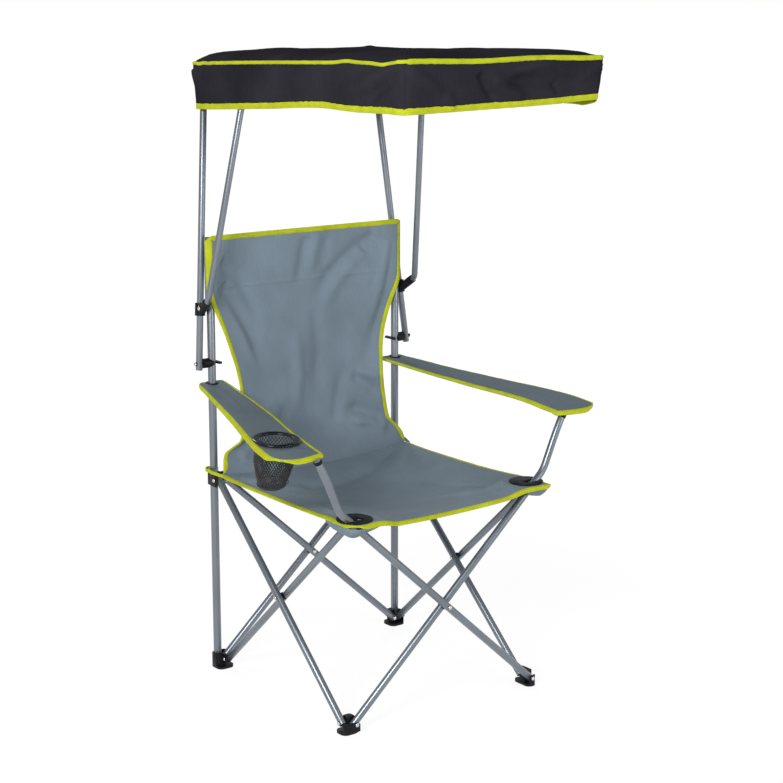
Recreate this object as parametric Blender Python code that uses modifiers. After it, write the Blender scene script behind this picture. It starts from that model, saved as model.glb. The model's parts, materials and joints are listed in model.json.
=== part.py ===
"""Canopy folding chair: a four-way folding frame, a sling seat, cloth armrests and a tilting canopy.

Metres, +Z up, the sitter faces -Y, and +X is the sitter's left. The origin is on the floor under the
middle of the whole chair. Corners are written as distances out from the leg pivots: "out" sideways,
"away" to the rear or to the front.
"""

import math

import bmesh
import bpy
from mathutils import Matrix, Vector

RIGHT, LEFT = -1, 1
REAR, FRONT = 1, -1

# Linkage
CORNER_SPACING = 0.470
FOOT_PIVOT_HEIGHT = 0.020
HUB_PIVOT_HEIGHT = 0.445
CLEARANCE = 0.0003
CROSSING_GAP = 0.0012

# Cross tubes
TUBE_DIAMETER = 0.016
TUBE_END = 0.005
INNER_SIDE_OFFSET = 0.0004
INNER_REAR_OFFSET = 0.0014
FRONT_TUBE_GAP = 0.0018

# Rear posts
POST_DIAMETER = 0.018
POST_SIDE_OFFSET = 0.0188
POST_REAR_GAP = 0.0020
POST_BOTTOM = 0.007
POST_RISE = 0.272

# Arm posts: the front tubes above the seat, as sideways and upward runs
ARM_STRAIGHT_RUN = 0.045
ARM_MIDDLE_OUT = 0.031
ARM_MIDDLE_UP = 0.071
ARM_TIP_OUT = 0.024
ARM_TIP_UP = 0.049

# Plastic feet and hubs
WALL = 0.004
EAR_GAP = 0.0009
LIP = 0.008
BASE_THICKNESS = 0.006
BASE_MARGIN = 0.002
FOOT_WALL_TOP = 0.033
HUB_HALF_HEIGHT = 0.015
DISC_DIAMETER = 0.075
DISC_THICKNESS = 0.003
DISC_RISE = 0.019
DISC_OUT = 0.003
DISC_BACK = 0.008
SLOT_MARGIN = 0.0010

# Rivets
SHANK_DIAMETER = 0.005
HEAD_DIAMETER = 0.009
HEAD_THICKNESS = 0.0018
BLIND_DEPTH = 0.003

# Seat and back cloth
CLOTH = 0.004
SEAT_REAR_IN = 0.017
SEAT_REAR_SIDE_OUT = 0.027
SEAT_CORNER_OUT = 0.042
SEAT_CORNER_AWAY = 0.070
SEAT_SIDE_DRAW = 0.004
SEAT_FRONT_DRAW = 0.020
SEAT_SAG = 0.042
SEAT_END_SAG = 0.014
SEAT_SIDE_SAG = 0.003
SEAM_GAP = 0.0005
CORNER_RELIEF = 0.0009
RIPPLE = 0.0025
BACK_OVER_POST = 0.0102
BACK_EDGE_OUT = 0.0082
BACK_FOOT_IN = 0.013
BACK_HEAD_AWAY = 0.008
BACK_BOW = 0.030
BACK_BOW_START = 1 / 6
POCKET_RADIUS = 0.0125
POCKET_LENGTH = 0.144
# Height share, half width share
BACK_WIDTH_SHARES = (
    (0.0, 0.885), (0.06, 0.85), (0.12, 0.785), (0.21, 0.737), (0.32, 0.718),
    (0.42, 0.728), (0.51, 0.775), (0.59, 0.850), (0.66, 0.935), (0.72, 0.985), (1.0, 1.0),
)

# Armrests
ARMREST_THICKNESS = 0.008
ARMREST_REAR_AWAY = 0.039
ARMREST_FRONT_AWAY = 0.051
ARMREST_DROP = 0.048
ARMREST_REAR_OUTS = (-0.023, 0.046)
ARMREST_FRONT_OUTS = (0.071, 0.195)
ARMREST_END_SHARE = 0.62

# Cup holder in the right armrest
CUP_SIDE_OUT = 0.124
CUP_IN = 0.075
CUP_RING_RADIUS = 0.0450
CUP_RING_WIRE = 0.004
CUP_DEPTH = 0.105
CUP_FLOOR_RADIUS = 0.034
CUP_MESH = 0.0016

# Canopy poles: their pivots stand above the hubs and carry the posts' tops, armrests and canopy
POLE_DIAMETER = 0.015
POLE_BESIDE_POST = 0.0322
POLE_PIVOT_RISE = 0.265
POLE_TAIL = 0.014
POLE_RISE = 0.617
POLE_LEAN_BACK = math.radians(4.4)
POLE_LEAN_IN = math.radians(5.2)
SPACER_DIAMETER = 0.022
WING_LENGTH = 0.034
WING_WIDTH = 0.012
WING_THICKNESS = 0.007
BOLT_DIAMETER = 0.005
BRACKET_RISE = 0.120
BRACKET_LENGTH = 0.028
BRACKET_REACH = 0.042
BRACKET_SIDE_REACH = 0.004
SOCKET_LENGTH = 0.020
BRACE_DIAMETER = 0.014
BRACE_KINK = 0.026
BRACE_KINK_RUN = 0.006
BRACE_KINK_OUT = 0.004
BRACE_TOP_IN = 0.111
BRACE_GAP = 0.0017
RAIL_DIAMETER = 0.012
RAIL_FRONT_AWAY = 0.193
RAIL_FRONT_SIDE_OUT = -0.001
RAIL_FRONT_RISE = 0.032
RAIL_PIN_DIAMETER = 0.006
RAIL_PIN_DEPTH = 0.009
RAIL_END = 0.007

# Canopy cloth
CANOPY_CLOTH = 0.003
CANOPY_SIDE_OUT = 0.0205
CANOPY_REAR_AWAY = 0.0795
CANOPY_FRONT_AWAY = 0.2135
CANOPY_REAR_LIFT = 0.035
CANOPY_FRONT_LIFT = 0.027
CANOPY_CROWN = 0.014
CANOPY_CORNER_RADIUS = 0.022
VALANCE_DEPTH = 0.094
VALANCE_TUCK = 0.002
VALANCE_FOLD = 0.0025

TOP_RING_SHARES = (0.25, 0.5, 0.75, 0.93, 1.0)
VALANCE_RING_SHARES = (0.12, 0.4, 0.7, 1.0)
CORNER_STEPS = 3
EDGE_STEPS = 8

TUBE_SIDES = 12
POLE_SIDES = 10
HEAD_SIDES = 10
PIN_SIDES = 8

HALF = CORNER_SPACING / 2
TUBE_R = TUBE_DIAMETER / 2
POST_R = POST_DIAMETER / 2
POLE_R = POLE_DIAMETER / 2
PITCH = TUBE_DIAMETER + CROSSING_GAP
LEAN = math.atan2(CORNER_SPACING, HUB_PIVOT_HEIGHT - FOOT_PIVOT_HEIGHT)
MID_HEIGHT = (FOOT_PIVOT_HEIGHT + HUB_PIVOT_HEIGHT) / 2
OUTER_SIDE_OFFSET = INNER_SIDE_OFFSET + PITCH
OUTER_REAR_OFFSET = INNER_REAR_OFFSET + PITCH
INNER_FRONT_OFFSET = TUBE_DIAMETER + FRONT_TUBE_GAP
OUTER_FRONT_OFFSET = INNER_FRONT_OFFSET + PITCH
# How far a leaning tube's end reaches past its pivot
TUBE_REACH = TUBE_END * math.sin(LEAN) + TUBE_R * math.cos(LEAN)
POST_REAR_OFFSET = TUBE_REACH + POST_R + POST_REAR_GAP / 2
DISC_TOP = HUB_PIVOT_HEIGHT + DISC_RISE + DISC_THICKNESS
SEAT_HEIGHT = HUB_PIVOT_HEIGHT + DISC_RISE - CLEARANCE - CLOTH / 2
BACK_BOTTOM = SEAT_HEIGHT + CLOTH / 2 + SEAM_GAP
POLE_PIVOT_HEIGHT = HUB_PIVOT_HEIGHT + POLE_PIVOT_RISE
POLE_PIVOT_OUT = HALF + POST_SIDE_OFFSET + POLE_BESIDE_POST
SEAT_REAR_Y = HALF - SEAT_REAR_IN
SEAT_REAR_HALF_WIDTH = HALF + SEAT_REAR_SIDE_OUT
BACK_HALF_WIDTH = HALF + POST_SIDE_OFFSET + BACK_EDGE_OUT
BACK_FOOT_Y = HALF - BACK_FOOT_IN
BACK_HEAD_Y = HALF + BACK_HEAD_AWAY
ARMREST_REAR_Y = HALF + ARMREST_REAR_AWAY
ARMREST_FRONT_Y = -(HALF + ARMREST_FRONT_AWAY)
CUP_OUT = HALF + CUP_SIDE_OUT
CUP_Y = -(HALF - CUP_IN)
BRACE_TOP_Y = HALF - BRACE_TOP_IN
RAIL_FRONT_OUT = HALF + RAIL_FRONT_SIDE_OUT
RAIL_FRONT_Y = -(HALF + RAIL_FRONT_AWAY)
CANOPY_HALF_WIDTH = HALF + CANOPY_SIDE_OUT
CANOPY_REAR_Y = HALF + CANOPY_REAR_AWAY
CANOPY_FRONT_Y = -(HALF + CANOPY_FRONT_AWAY)
POST_TOP = POLE_PIVOT_HEIGHT + POST_RISE
BACK_HEIGHT = POST_TOP + BACK_OVER_POST - BACK_BOTTOM
ARMREST_REAR_Z = POLE_PIVOT_HEIGHT - ARMREST_DROP
BRACKET_HEIGHT = POLE_PIVOT_HEIGHT + BRACKET_RISE
POLE_TOP = POLE_PIVOT_HEIGHT + POLE_RISE
RAIL_FRONT_HEIGHT = POLE_TOP + RAIL_FRONT_RISE
CANOPY_REAR_HEIGHT = POLE_TOP + CANOPY_REAR_LIFT
CANOPY_FRONT_HEIGHT = RAIL_FRONT_HEIGHT + CANOPY_FRONT_LIFT
CENTRE_SHIFT = -(CANOPY_REAR_Y + CANOPY_FRONT_Y) / 2

COLOURS = {
    "silver_steel": ((0.42, 0.44, 0.46), 0.35, 0.9),
    "black_plastic": ((0.02, 0.02, 0.022), 0.45, 0.0),
    "rivet_steel": ((0.70, 0.70, 0.70), 0.3, 1.0),
    "slate_cloth": ((0.158, 0.202, 0.241), 0.85, 0.0),
    "black_cloth": ((0.03, 0.032, 0.036), 0.85, 0.0),
    "black_net": ((0.015, 0.015, 0.016), 0.8, 0.0),
}


def collection(name):
    found = bpy.data.collections.new(name)
    bpy.context.scene.collection.children.link(found)
    return found


def material(name):
    colour, roughness, metallic = COLOURS[name]
    made = bpy.data.materials.get(name)
    if made is None:
        made = bpy.data.materials.new(name)
        made.use_nodes = True
        shader = made.node_tree.nodes["Principled BSDF"]
        shader.inputs["Base Color"].default_value = (*colour, 1.0)
        shader.inputs["Roughness"].default_value = roughness
        shader.inputs["Metallic"].default_value = metallic
    return made


def object_from(name, bm):
    """A new object in the chair's collection, with its mesh in the chair's own coordinates."""
    bmesh.ops.recalc_face_normals(bm, faces=bm.faces)
    mesh = bpy.data.meshes.new(name)
    bm.to_mesh(mesh)
    bm.free()
    made = bpy.data.objects.new(name, mesh)
    PARTS.objects.link(made)
    return made


def bake(piece):
    """Replaces a piece's mesh by its modifiers' result."""
    seen = piece.evaluated_get(bpy.context.evaluated_depsgraph_get())
    mesh = bpy.data.meshes.new_from_object(seen)
    piece.modifiers.clear()
    piece.data = mesh


def combine(piece, tools, operation):
    """Joins or cuts a piece with each tool in turn, and removes the tools."""
    for tool in tools:
        boolean = piece.modifiers.new(operation.lower(), "BOOLEAN")
        boolean.operation = operation
        boolean.object = tool
        bake(piece)
        bpy.data.objects.remove(tool)
    return piece


def finish(piece, origin, finish_name, smooth_angle=math.radians(35)):
    """Puts a piece's origin on its joint, hangs it under the chair and gives it its material."""
    origin = Vector(origin)
    piece.data.transform(Matrix.Translation(-origin))
    piece.location = origin
    piece.parent = CHAIR
    piece.data.materials.clear()
    piece.data.materials.append(material(finish_name))
    piece.data.shade_smooth()
    piece.data.set_sharp_from_angle(angle=smooth_angle)
    return piece


def box(name, low, high):
    bm = bmesh.new()
    low, high = Vector(low), Vector(high)
    stretch = Matrix.Diagonal((*(high - low), 1))
    bmesh.ops.create_cube(bm, size=1, matrix=Matrix.Translation((low + high) / 2) @ stretch)
    return object_from(name, bm)


def rod(name, start, end, radius, sides=PIN_SIDES, end_radius=None):
    """A straight round bar or a cone between two points."""
    start, end = Vector(start), Vector(end)
    along = end - start
    turn = along.to_track_quat("Z", "Y").to_matrix().to_4x4()
    place = Matrix.Translation((start + end) / 2) @ turn
    end_radius = radius if end_radius is None else end_radius
    bm = bmesh.new()
    bmesh.ops.create_cone(
        bm, cap_ends=True, segments=sides, radius1=radius, radius2=end_radius,
        depth=along.length, matrix=place,
    )
    return object_from(name, bm)


def tube(name, points, radius, sides=TUBE_SIDES):
    """A bent tube along points, as a bevelled curve turned into a welded mesh."""
    curve = bpy.data.curves.new(name, "CURVE")
    curve.dimensions = "3D"
    curve.bevel_depth = radius
    curve.bevel_resolution = (sides - 4) // 2
    curve.use_fill_caps = True
    spline = curve.splines.new("POLY")
    spline.points.add(len(points) - 1)
    for knot, place in zip(spline.points, points):
        knot.co = (*place, 1)
    bent = bpy.data.objects.new(name + "_route", curve)
    PARTS.objects.link(bent)
    seen = bent.evaluated_get(bpy.context.evaluated_depsgraph_get())
    bm = bmesh.new()
    bm.from_mesh(bpy.data.meshes.new_from_object(seen))
    bmesh.ops.remove_doubles(bm, verts=bm.verts, dist=CLEARANCE / 3)
    bpy.data.objects.remove(bent)
    return object_from(name, bm)


def eased(points, radius, steps=3):
    """A route whose inner corners are rounded by curves that start a radius before each corner."""
    route = [Vector(points[0])]
    for before, corner, after in zip(points, points[1:], points[2:]):
        before, corner, after = Vector(before), Vector(corner), Vector(after)
        entry = corner + (before - corner).normalized() * radius
        leave = corner + (after - corner).normalized() * radius
        for step in range(steps + 1):
            t = step / steps
            route.append(entry * (1 - t) ** 2 + corner * (2 * t * (1 - t)) + leave * t**2)
    route.append(Vector(points[-1]))
    return route


def sheet(name, columns, rows, place, thickness):
    """Cloth over a grid: place(across, along) gives each point, with both shares from 0 to 1."""
    bm = bmesh.new()
    bmesh.ops.create_grid(bm, x_segments=columns, y_segments=rows, size=0.5)
    for vertex in bm.verts:
        vertex.co = place(vertex.co.x + 0.5, vertex.co.y + 0.5)
    made = object_from(name, bm)
    solid = made.modifiers.new("cloth", "SOLIDIFY")
    solid.thickness = thickness
    solid.offset = 0
    solid.use_even_offset = True
    bake(made)
    return made


def spot(side, end, out, away, height):
    """A point near a corner's leg pivots."""
    return Vector((side * (HALF + out), end * (HALF + away), height))


def block(side, end, outs, aways, heights):
    """A box near a corner, from its limits outwards, away and upwards."""
    a = spot(side, end, outs[0], aways[0], heights[0])
    b = spot(side, end, outs[1], aways[1], heights[1])
    low = [min(p) for p in zip(a, b)]
    high = [max(p) for p in zip(a, b)]
    return box("block", low, high)


def side_offset(side, end, top):
    """Sideways plane of the side tube that ends at this corner's foot or hub."""
    outer = (side == RIGHT) == ((end == FRONT) != top)
    return OUTER_SIDE_OFFSET if outer else INNER_SIDE_OFFSET


def cross_offset(side, end, top):
    """Plane, away from the middle, of the rear or front tube that ends at this corner."""
    near = (side == RIGHT) != top
    if end == REAR:
        return OUTER_REAR_OFFSET if near else INNER_REAR_OFFSET
    return INNER_FRONT_OFFSET if near else OUTER_FRONT_OFFSET


def pin_places(side, end, top):
    """Head seat and inward direction of the two rivets at a corner, with the length of their shanks."""
    height = HUB_PIVOT_HEIGHT if top else FOOT_PIVOT_HEIGHT
    out = side_offset(side, end, top)
    away = cross_offset(side, end, top)
    eared = out == INNER_SIDE_OFFSET or end == REAR
    seat_out = out + TUBE_R + (EAR_GAP + WALL if eared else 0) + CLEARANCE
    side_shank = TUBE_DIAMETER + WALL - BLIND_DEPTH / 2
    if end == REAR and away == OUTER_REAR_OFFSET:
        seat_away = away + TUBE_R + WALL + 2 * CLEARANCE
        toward = Vector((0, -end, 0))
    elif end == REAR:
        seat_away = away - TUBE_R - CLEARANCE
        toward = Vector((0, end, 0))
    else:
        seat_away = away + TUBE_R + CLEARANCE
        toward = Vector((0, -end, 0))
    cross_shank = TUBE_DIAMETER + (WALL if end == FRONT else 0) - BLIND_DEPTH / 2
    return {
        "side": (spot(side, end, seat_out, 0, height), Vector((-side, 0, 0)), side_shank),
        "cross": (spot(side, end, 0, seat_away, height), toward, cross_shank),
    }


def pin(name, seat, toward, shank, finish_name="rivet_steel"):
    """A rivet with a domed head outside its seat and a shank that goes inwards."""
    dome = seat - toward * HEAD_THICKNESS
    head = rod(name, seat, dome, HEAD_DIAMETER / 2, HEAD_SIDES, HEAD_DIAMETER / 3)
    stem = rod("stem", seat - toward * HEAD_THICKNESS / 2, seat + toward * shank, SHANK_DIAMETER / 2)
    combine(head, [stem], "UNION")
    return finish(head, seat, finish_name)


def pin_hole(seat, toward, shank):
    """The cutter of a rivet's hole, which opens where its head sits."""
    return rod(
        "hole", seat - toward * (HEAD_THICKNESS + WALL), seat + toward * (shank + CLEARANCE),
        SHANK_DIAMETER / 2 + CLEARANCE,
    )


def corner_walls(side, end, top, heights):
    """The upright walls of a foot or hub, which stand beside its two tubes and its post."""
    out = side_offset(side, end, top)
    away = cross_offset(side, end, top)
    ear_out = out + TUBE_R + EAR_GAP
    post_out = POST_SIDE_OFFSET + POST_R + WALL - CLEARANCE
    if end == REAR:
        post_rear = POST_REAR_OFFSET + POST_R + WALL
        if away == OUTER_REAR_OFFSET:
            wall = away + TUBE_R + CLEARANCE
            socket_low = POST_REAR_OFFSET - POST_R - WALL
            socket_outs = (TUBE_REACH + WALL / 2, post_out)
            yield block(side, end, (-LIP, post_out), (wall, wall + WALL), heights)
            yield block(side, end, socket_outs, (socket_low, wall + WALL / 2), heights)
            yield block(side, end, (ear_out, ear_out + WALL), (-LIP, socket_low + WALL / 2), heights)
        else:
            wall = away + TUBE_R + CLEARANCE
            socket_low = TUBE_REACH + WALL / 2
            post_in = POST_SIDE_OFFSET - POST_R - WALL
            yield block(side, end, (-LIP, post_in + WALL), (wall, wall + WALL), heights)
            yield block(side, end, (post_in, ear_out + WALL / 2), (socket_low, post_rear), heights)
            yield block(side, end, (ear_out, ear_out + WALL), (-LIP, socket_low + WALL), heights)
    elif out == OUTER_SIDE_OFFSET:
        inner = (-LIP, out - TUBE_R - CLEARANCE)
        yield block(side, end, inner, (-LIP, away - TUBE_R - CLEARANCE), heights)
    else:
        front_wall = (TUBE_REACH + EAR_GAP, away - TUBE_R - CLEARANCE)
        yield block(side, end, (-LIP, ear_out + WALL), front_wall, heights)
        yield block(side, end, (ear_out, ear_out + WALL), (-LIP, front_wall[0] + WALL), heights)


def corner_limits(side, end, top):
    """How far a foot's base plate reaches outwards and away."""
    out = side_offset(side, end, top) + TUBE_R + EAR_GAP + WALL
    away = cross_offset(side, end, top) + TUBE_R
    if end == REAR:
        out = max(out, POST_SIDE_OFFSET + POST_R + WALL - CLEARANCE)
        away = POST_REAR_OFFSET + POST_R + WALL
    return out, away


def post_cutter(side, heights):
    foot = spot(side, REAR, POST_SIDE_OFFSET, POST_REAR_OFFSET, heights[0])
    head = spot(side, REAR, POST_SIDE_OFFSET, POST_REAR_OFFSET, heights[1])
    return rod("bore", foot, head, POST_R + CLEARANCE, 2 * TUBE_SIDES)


def foot(name, side, end):
    walls = list(corner_walls(side, end, False, (BASE_THICKNESS / 2, FOOT_WALL_TOP)))
    out, away = corner_limits(side, end, False)
    inner = -LIP - BASE_MARGIN
    base = block(side, end, (inner, out), (inner, away), (0, BASE_THICKNESS))
    base.name = name
    combine(base, walls, "UNION")
    holes = [pin_hole(*place) for place in pin_places(side, end, False).values()]
    if end == REAR:
        holes.append(post_cutter(side, (POST_BOTTOM - CLEARANCE, FOOT_WALL_TOP + WALL)))
    combine(base, holes, "DIFFERENCE")
    return finish(base, spot(side, end, 0, 0, FOOT_PIVOT_HEIGHT), "black_plastic")


def hub(name, side, end):
    """A rear slider round its post, or a front hub under its seat disc."""
    low = HUB_PIVOT_HEIGHT - HUB_HALF_HEIGHT
    high = HUB_PIVOT_HEIGHT + (HUB_HALF_HEIGHT if end == REAR else DISC_RISE + DISC_THICKNESS / 2)
    walls = list(corner_walls(side, end, True, (low, high)))
    body = walls.pop(0)
    body.name = name
    combine(body, walls, "UNION")
    holes = [pin_hole(*place) for place in pin_places(side, end, True).values()]
    if end == REAR:
        holes.append(post_cutter(side, (low - WALL, high + WALL)))
    else:
        away = cross_offset(side, end, True)
        rim = spot(side, end, DISC_OUT, away - DISC_BACK, HUB_PIVOT_HEIGHT + DISC_RISE)
        disc = rod("disc", rim, rim + Vector((0, 0, DISC_THICKNESS)), DISC_DIAMETER / 2, 2 * TUBE_SIDES)
        combine(body, [disc], "UNION")
        reach = TUBE_R / math.cos(LEAN) + (DISC_THICKNESS / 2) * math.tan(LEAN) + SLOT_MARGIN
        middle = (DISC_RISE + DISC_THICKNESS / 2) * math.tan(LEAN)
        width = TUBE_R + CLEARANCE
        slot_outs = (-TUBE_R - SLOT_MARGIN, middle + reach)
        slot_heights = (HUB_PIVOT_HEIGHT + DISC_RISE - CLEARANCE, DISC_TOP + WALL)
        holes.append(block(side, end, slot_outs, (away - width, away + width), slot_heights))
    combine(body, holes, "DIFFERENCE")
    return finish(body, spot(side, end, 0, 0, HUB_PIVOT_HEIGHT), "black_plastic")


def leg_tube(name, low, high, holes, beyond=()):
    """A cross tube from a foot pivot to a hub pivot, with its rivet holes, and any bends beyond the hub."""
    low, high = Vector(low), Vector(high)
    along = (high - low).normalized()
    route = [low - along * TUBE_END]
    route += [Vector(point) for point in beyond] or [high + along * TUBE_END]
    made = tube(name, eased(route, TUBE_DIAMETER) if beyond else route, TUBE_R)
    combine(made, holes, "DIFFERENCE")
    return finish(made, low, "silver_steel")


def through_hole(point, direction):
    direction = Vector(direction) * (TUBE_DIAMETER + PITCH)
    point = Vector(point)
    return rod("hole", point - direction, point + direction, SHANK_DIAMETER / 2 + CLEARANCE)


def corner_hole(side, end, top, kind):
    return pin_hole(*pin_places(side, end, top)[kind])


def side_tubes(side, word):
    """The two side tubes: rear foot up to front hub, and rear hub down to front foot."""
    for foot_end, label in ((REAR, "rising"), (FRONT, "falling")):
        plane = side_offset(side, foot_end, False)
        low = spot(side, foot_end, plane, 0, FOOT_PIVOT_HEIGHT)
        high = spot(side, -foot_end, plane, 0, HUB_PIVOT_HEIGHT)
        middle = (side * (HALF + plane), 0, MID_HEIGHT)
        holes = [
            corner_hole(side, foot_end, False, "side"),
            corner_hole(side, -foot_end, True, "side"),
            through_hole(middle, (1, 0, 0)),
        ]
        leg_tube(f"{word}_side_tube_{label}", low, high, holes)


def cross_tubes(end, word):
    """The two rear or front tubes, from a foot to the hub across. The front ones go on as arm posts."""
    for foot_side, label in ((RIGHT, "from_right"), (LEFT, "from_left")):
        plane = cross_offset(foot_side, end, False)
        low = spot(foot_side, end, 0, plane, FOOT_PIVOT_HEIGHT)
        high = spot(-foot_side, end, 0, plane, HUB_PIVOT_HEIGHT)
        holes = [
            corner_hole(foot_side, end, False, "cross"),
            corner_hole(-foot_side, end, True, "cross"),
            through_hole((0, end * (HALF + plane), MID_HEIGHT), (0, 1, 0)),
        ]
        beyond = arm_route(high, -foot_side) if end == FRONT else ()
        leg_tube(f"{word}_tube_{label}", low, high, holes, beyond)


def arm_route(hub_pivot, side):
    """The S-bend of an arm post: on along the tube, then steeper, then out again to its tip."""
    rise = ARM_STRAIGHT_RUN / math.tan(LEAN)
    first = hub_pivot + Vector((side * ARM_STRAIGHT_RUN, 0, rise))
    second = first + Vector((side * ARM_MIDDLE_OUT, 0, ARM_MIDDLE_UP))
    third = second + Vector((side * ARM_TIP_OUT, 0, ARM_TIP_UP))
    return [first, second, third]


def middle_rivet(name, centre, direction):
    """A rivet through both tubes of a crossing, with a head at each end."""
    centre, direction = Vector(centre), Vector(direction)
    half = direction * (PITCH / 2 + TUBE_R + CLEARANCE)
    thick = direction * HEAD_THICKNESS
    made = rod(name, centre + half, centre + half + thick, HEAD_DIAMETER / 2, HEAD_SIDES)
    tail = rod("tail", centre - half, centre - half - thick, HEAD_DIAMETER / 2, HEAD_SIDES)
    stem = rod("stem", centre - half - thick / 2, centre + half + thick / 2, SHANK_DIAMETER / 2)
    combine(made, [stem, tail], "UNION")
    return finish(made, centre, "rivet_steel")


def post_point(side, height):
    return spot(side, REAR, POST_SIDE_OFFSET, POST_REAR_OFFSET, height)


def pole_point(side, height):
    """A point on a straight pole's axis."""
    pivot = post_point(side, POLE_PIVOT_HEIGHT)
    rise = height - POLE_PIVOT_HEIGHT
    out = POLE_PIVOT_OUT - rise * math.tan(POLE_LEAN_IN)
    return Vector((side * out, pivot.y + rise * math.tan(POLE_LEAN_BACK), height))


def wing_bolt_cutter(side):
    middle = post_point(side, POLE_PIVOT_HEIGHT)
    out = Vector((side, 0, 0)) * (POLE_PIVOT_OUT - HALF)
    return rod("hole", middle - out, middle + out, BOLT_DIAMETER / 2 + CLEARANCE)


def post(name, side):
    made = rod(name, post_point(side, POST_BOTTOM), post_point(side, POST_TOP), POST_R, 2 * TUBE_SIDES)
    combine(made, [wing_bolt_cutter(side)], "DIFFERENCE")
    return finish(made, post_point(side, FOOT_PIVOT_HEIGHT), "silver_steel")


def pole_reach(radius):
    """How far from its pivot a leaning pole reaches sideways, over a disc of this radius, as it swings."""
    return POLE_R / math.cos(POLE_LEAN_IN) + radius * math.tan(POLE_LEAN_IN) + CLEARANCE


def spacer(name, side):
    """The black bush between a post and its pole, hollowed to the post and flat where the pole swings."""
    middle = post_point(side, POLE_PIVOT_HEIGHT)
    inner = Vector((side * (HALF + POST_SIDE_OFFSET), middle.y, middle.z))
    outer = Vector((side * (POLE_PIVOT_OUT - pole_reach(SPACER_DIAMETER / 2)), middle.y, middle.z))
    made = rod(name, inner, outer, SPACER_DIAMETER / 2, 2 * PIN_SIDES)
    heights = (POLE_PIVOT_HEIGHT - SPACER_DIAMETER, POLE_PIVOT_HEIGHT + SPACER_DIAMETER)
    combine(made, [post_cutter(side, heights), wing_bolt_cutter(side)], "DIFFERENCE")
    return finish(made, middle, "black_plastic")


def wing_bolt(name, side):
    """The bolt through pole, spacer and post, with its wing inside the post."""
    middle = post_point(side, POLE_PIVOT_HEIGHT)
    outward = Vector((side, 0, 0))
    head_seat = Vector((side * (POLE_PIVOT_OUT + pole_reach(HEAD_DIAMETER / 2)), middle.y, middle.z))
    wing_seat = Vector((side * (HALF + POST_SIDE_OFFSET - POST_R - CLEARANCE), middle.y, middle.z))
    head = rod(name, head_seat, head_seat + outward * HEAD_THICKNESS, HEAD_DIAMETER / 2, HEAD_SIDES)
    stem_start = head_seat + outward * (HEAD_THICKNESS / 2)
    stem = rod("stem", stem_start, wing_seat - outward * WING_THICKNESS, BOLT_DIAMETER / 2)
    half = Vector((WING_THICKNESS / 2, WING_LENGTH / 2, WING_WIDTH / 2))
    centre = wing_seat - outward * (WING_THICKNESS / 2)
    wing = box("wing", centre - half, centre + half)
    combine(head, [stem, wing], "UNION")
    return finish(head, middle, "black_plastic")


def bracket_places(side):
    """Collar centre on the pole, and the socket's centre ahead of it and a little outside."""
    collar = pole_point(side, BRACKET_HEIGHT)
    return collar, collar + Vector((side * BRACKET_SIDE_REACH, -BRACKET_REACH, 0))


def brace_route(side):
    """The bent pole: up and out from its socket to a slight kink, then forward and in to the rail."""
    _, socket = bracket_places(side)
    rail = rail_point(side, BRACE_TOP_Y)
    offset = Vector((side * (RAIL_DIAMETER / 2 + BRACE_DIAMETER / 2 + BRACE_GAP), 0, 0))
    kink = socket + Vector((side * BRACE_KINK_OUT, -BRACE_KINK_RUN, BRACE_KINK))
    top = rail + offset
    return [socket, kink, top + (top - kink).normalized() * RAIL_END]


def rail_point(side, y):
    """A point on a canopy rail's axis, which runs from beside the pole's top to the front corner."""
    top = pole_point(side, POLE_TOP - RAIL_END)
    out = side * top.x - RAIL_DIAMETER / 2 - POLE_R - CLEARANCE
    start = Vector((side * out, top.y, top.z))
    end = Vector((side * RAIL_FRONT_OUT, RAIL_FRONT_Y, RAIL_FRONT_HEIGHT))
    return start + (end - start) * ((y - start.y) / (end.y - start.y))


def rail_pivot(side):
    """The point on a rail's axis that its pole carries."""
    return rail_point(side, pole_point(side, POLE_TOP - RAIL_END).y)


def rail_pin(side, extra=0.0):
    start = rail_pivot(side)
    end = start + Vector((side * (RAIL_DIAMETER / 2 + RAIL_PIN_DEPTH + extra), 0, 0))
    return rod("pin", start, end, RAIL_PIN_DIAMETER / 2 + extra)


def rail(name, side):
    pivot = rail_pivot(side)
    start = rail_point(side, pivot.y + RAIL_END)
    made = tube(name, [start, rail_point(side, RAIL_FRONT_Y)], RAIL_DIAMETER / 2, POLE_SIDES)
    combine(made, [rail_pin(side)], "UNION")
    return finish(made, pivot, "silver_steel")


def straight_pole(name, side):
    foot_point = pole_point(side, POLE_PIVOT_HEIGHT - POLE_TAIL)
    made = tube(name, [foot_point, pole_point(side, POLE_TOP)], POLE_R, POLE_SIDES)
    combine(made, [wing_bolt_cutter(side), rail_pin(side, CLEARANCE)], "DIFFERENCE")
    return finish(made, pole_point(side, POLE_PIVOT_HEIGHT), "silver_steel")


def brace(name, side):
    made = tube(name, eased(brace_route(side), BRACE_DIAMETER), BRACE_DIAMETER / 2, POLE_SIDES)
    return finish(made, bracket_places(side)[1], "silver_steel")


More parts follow.
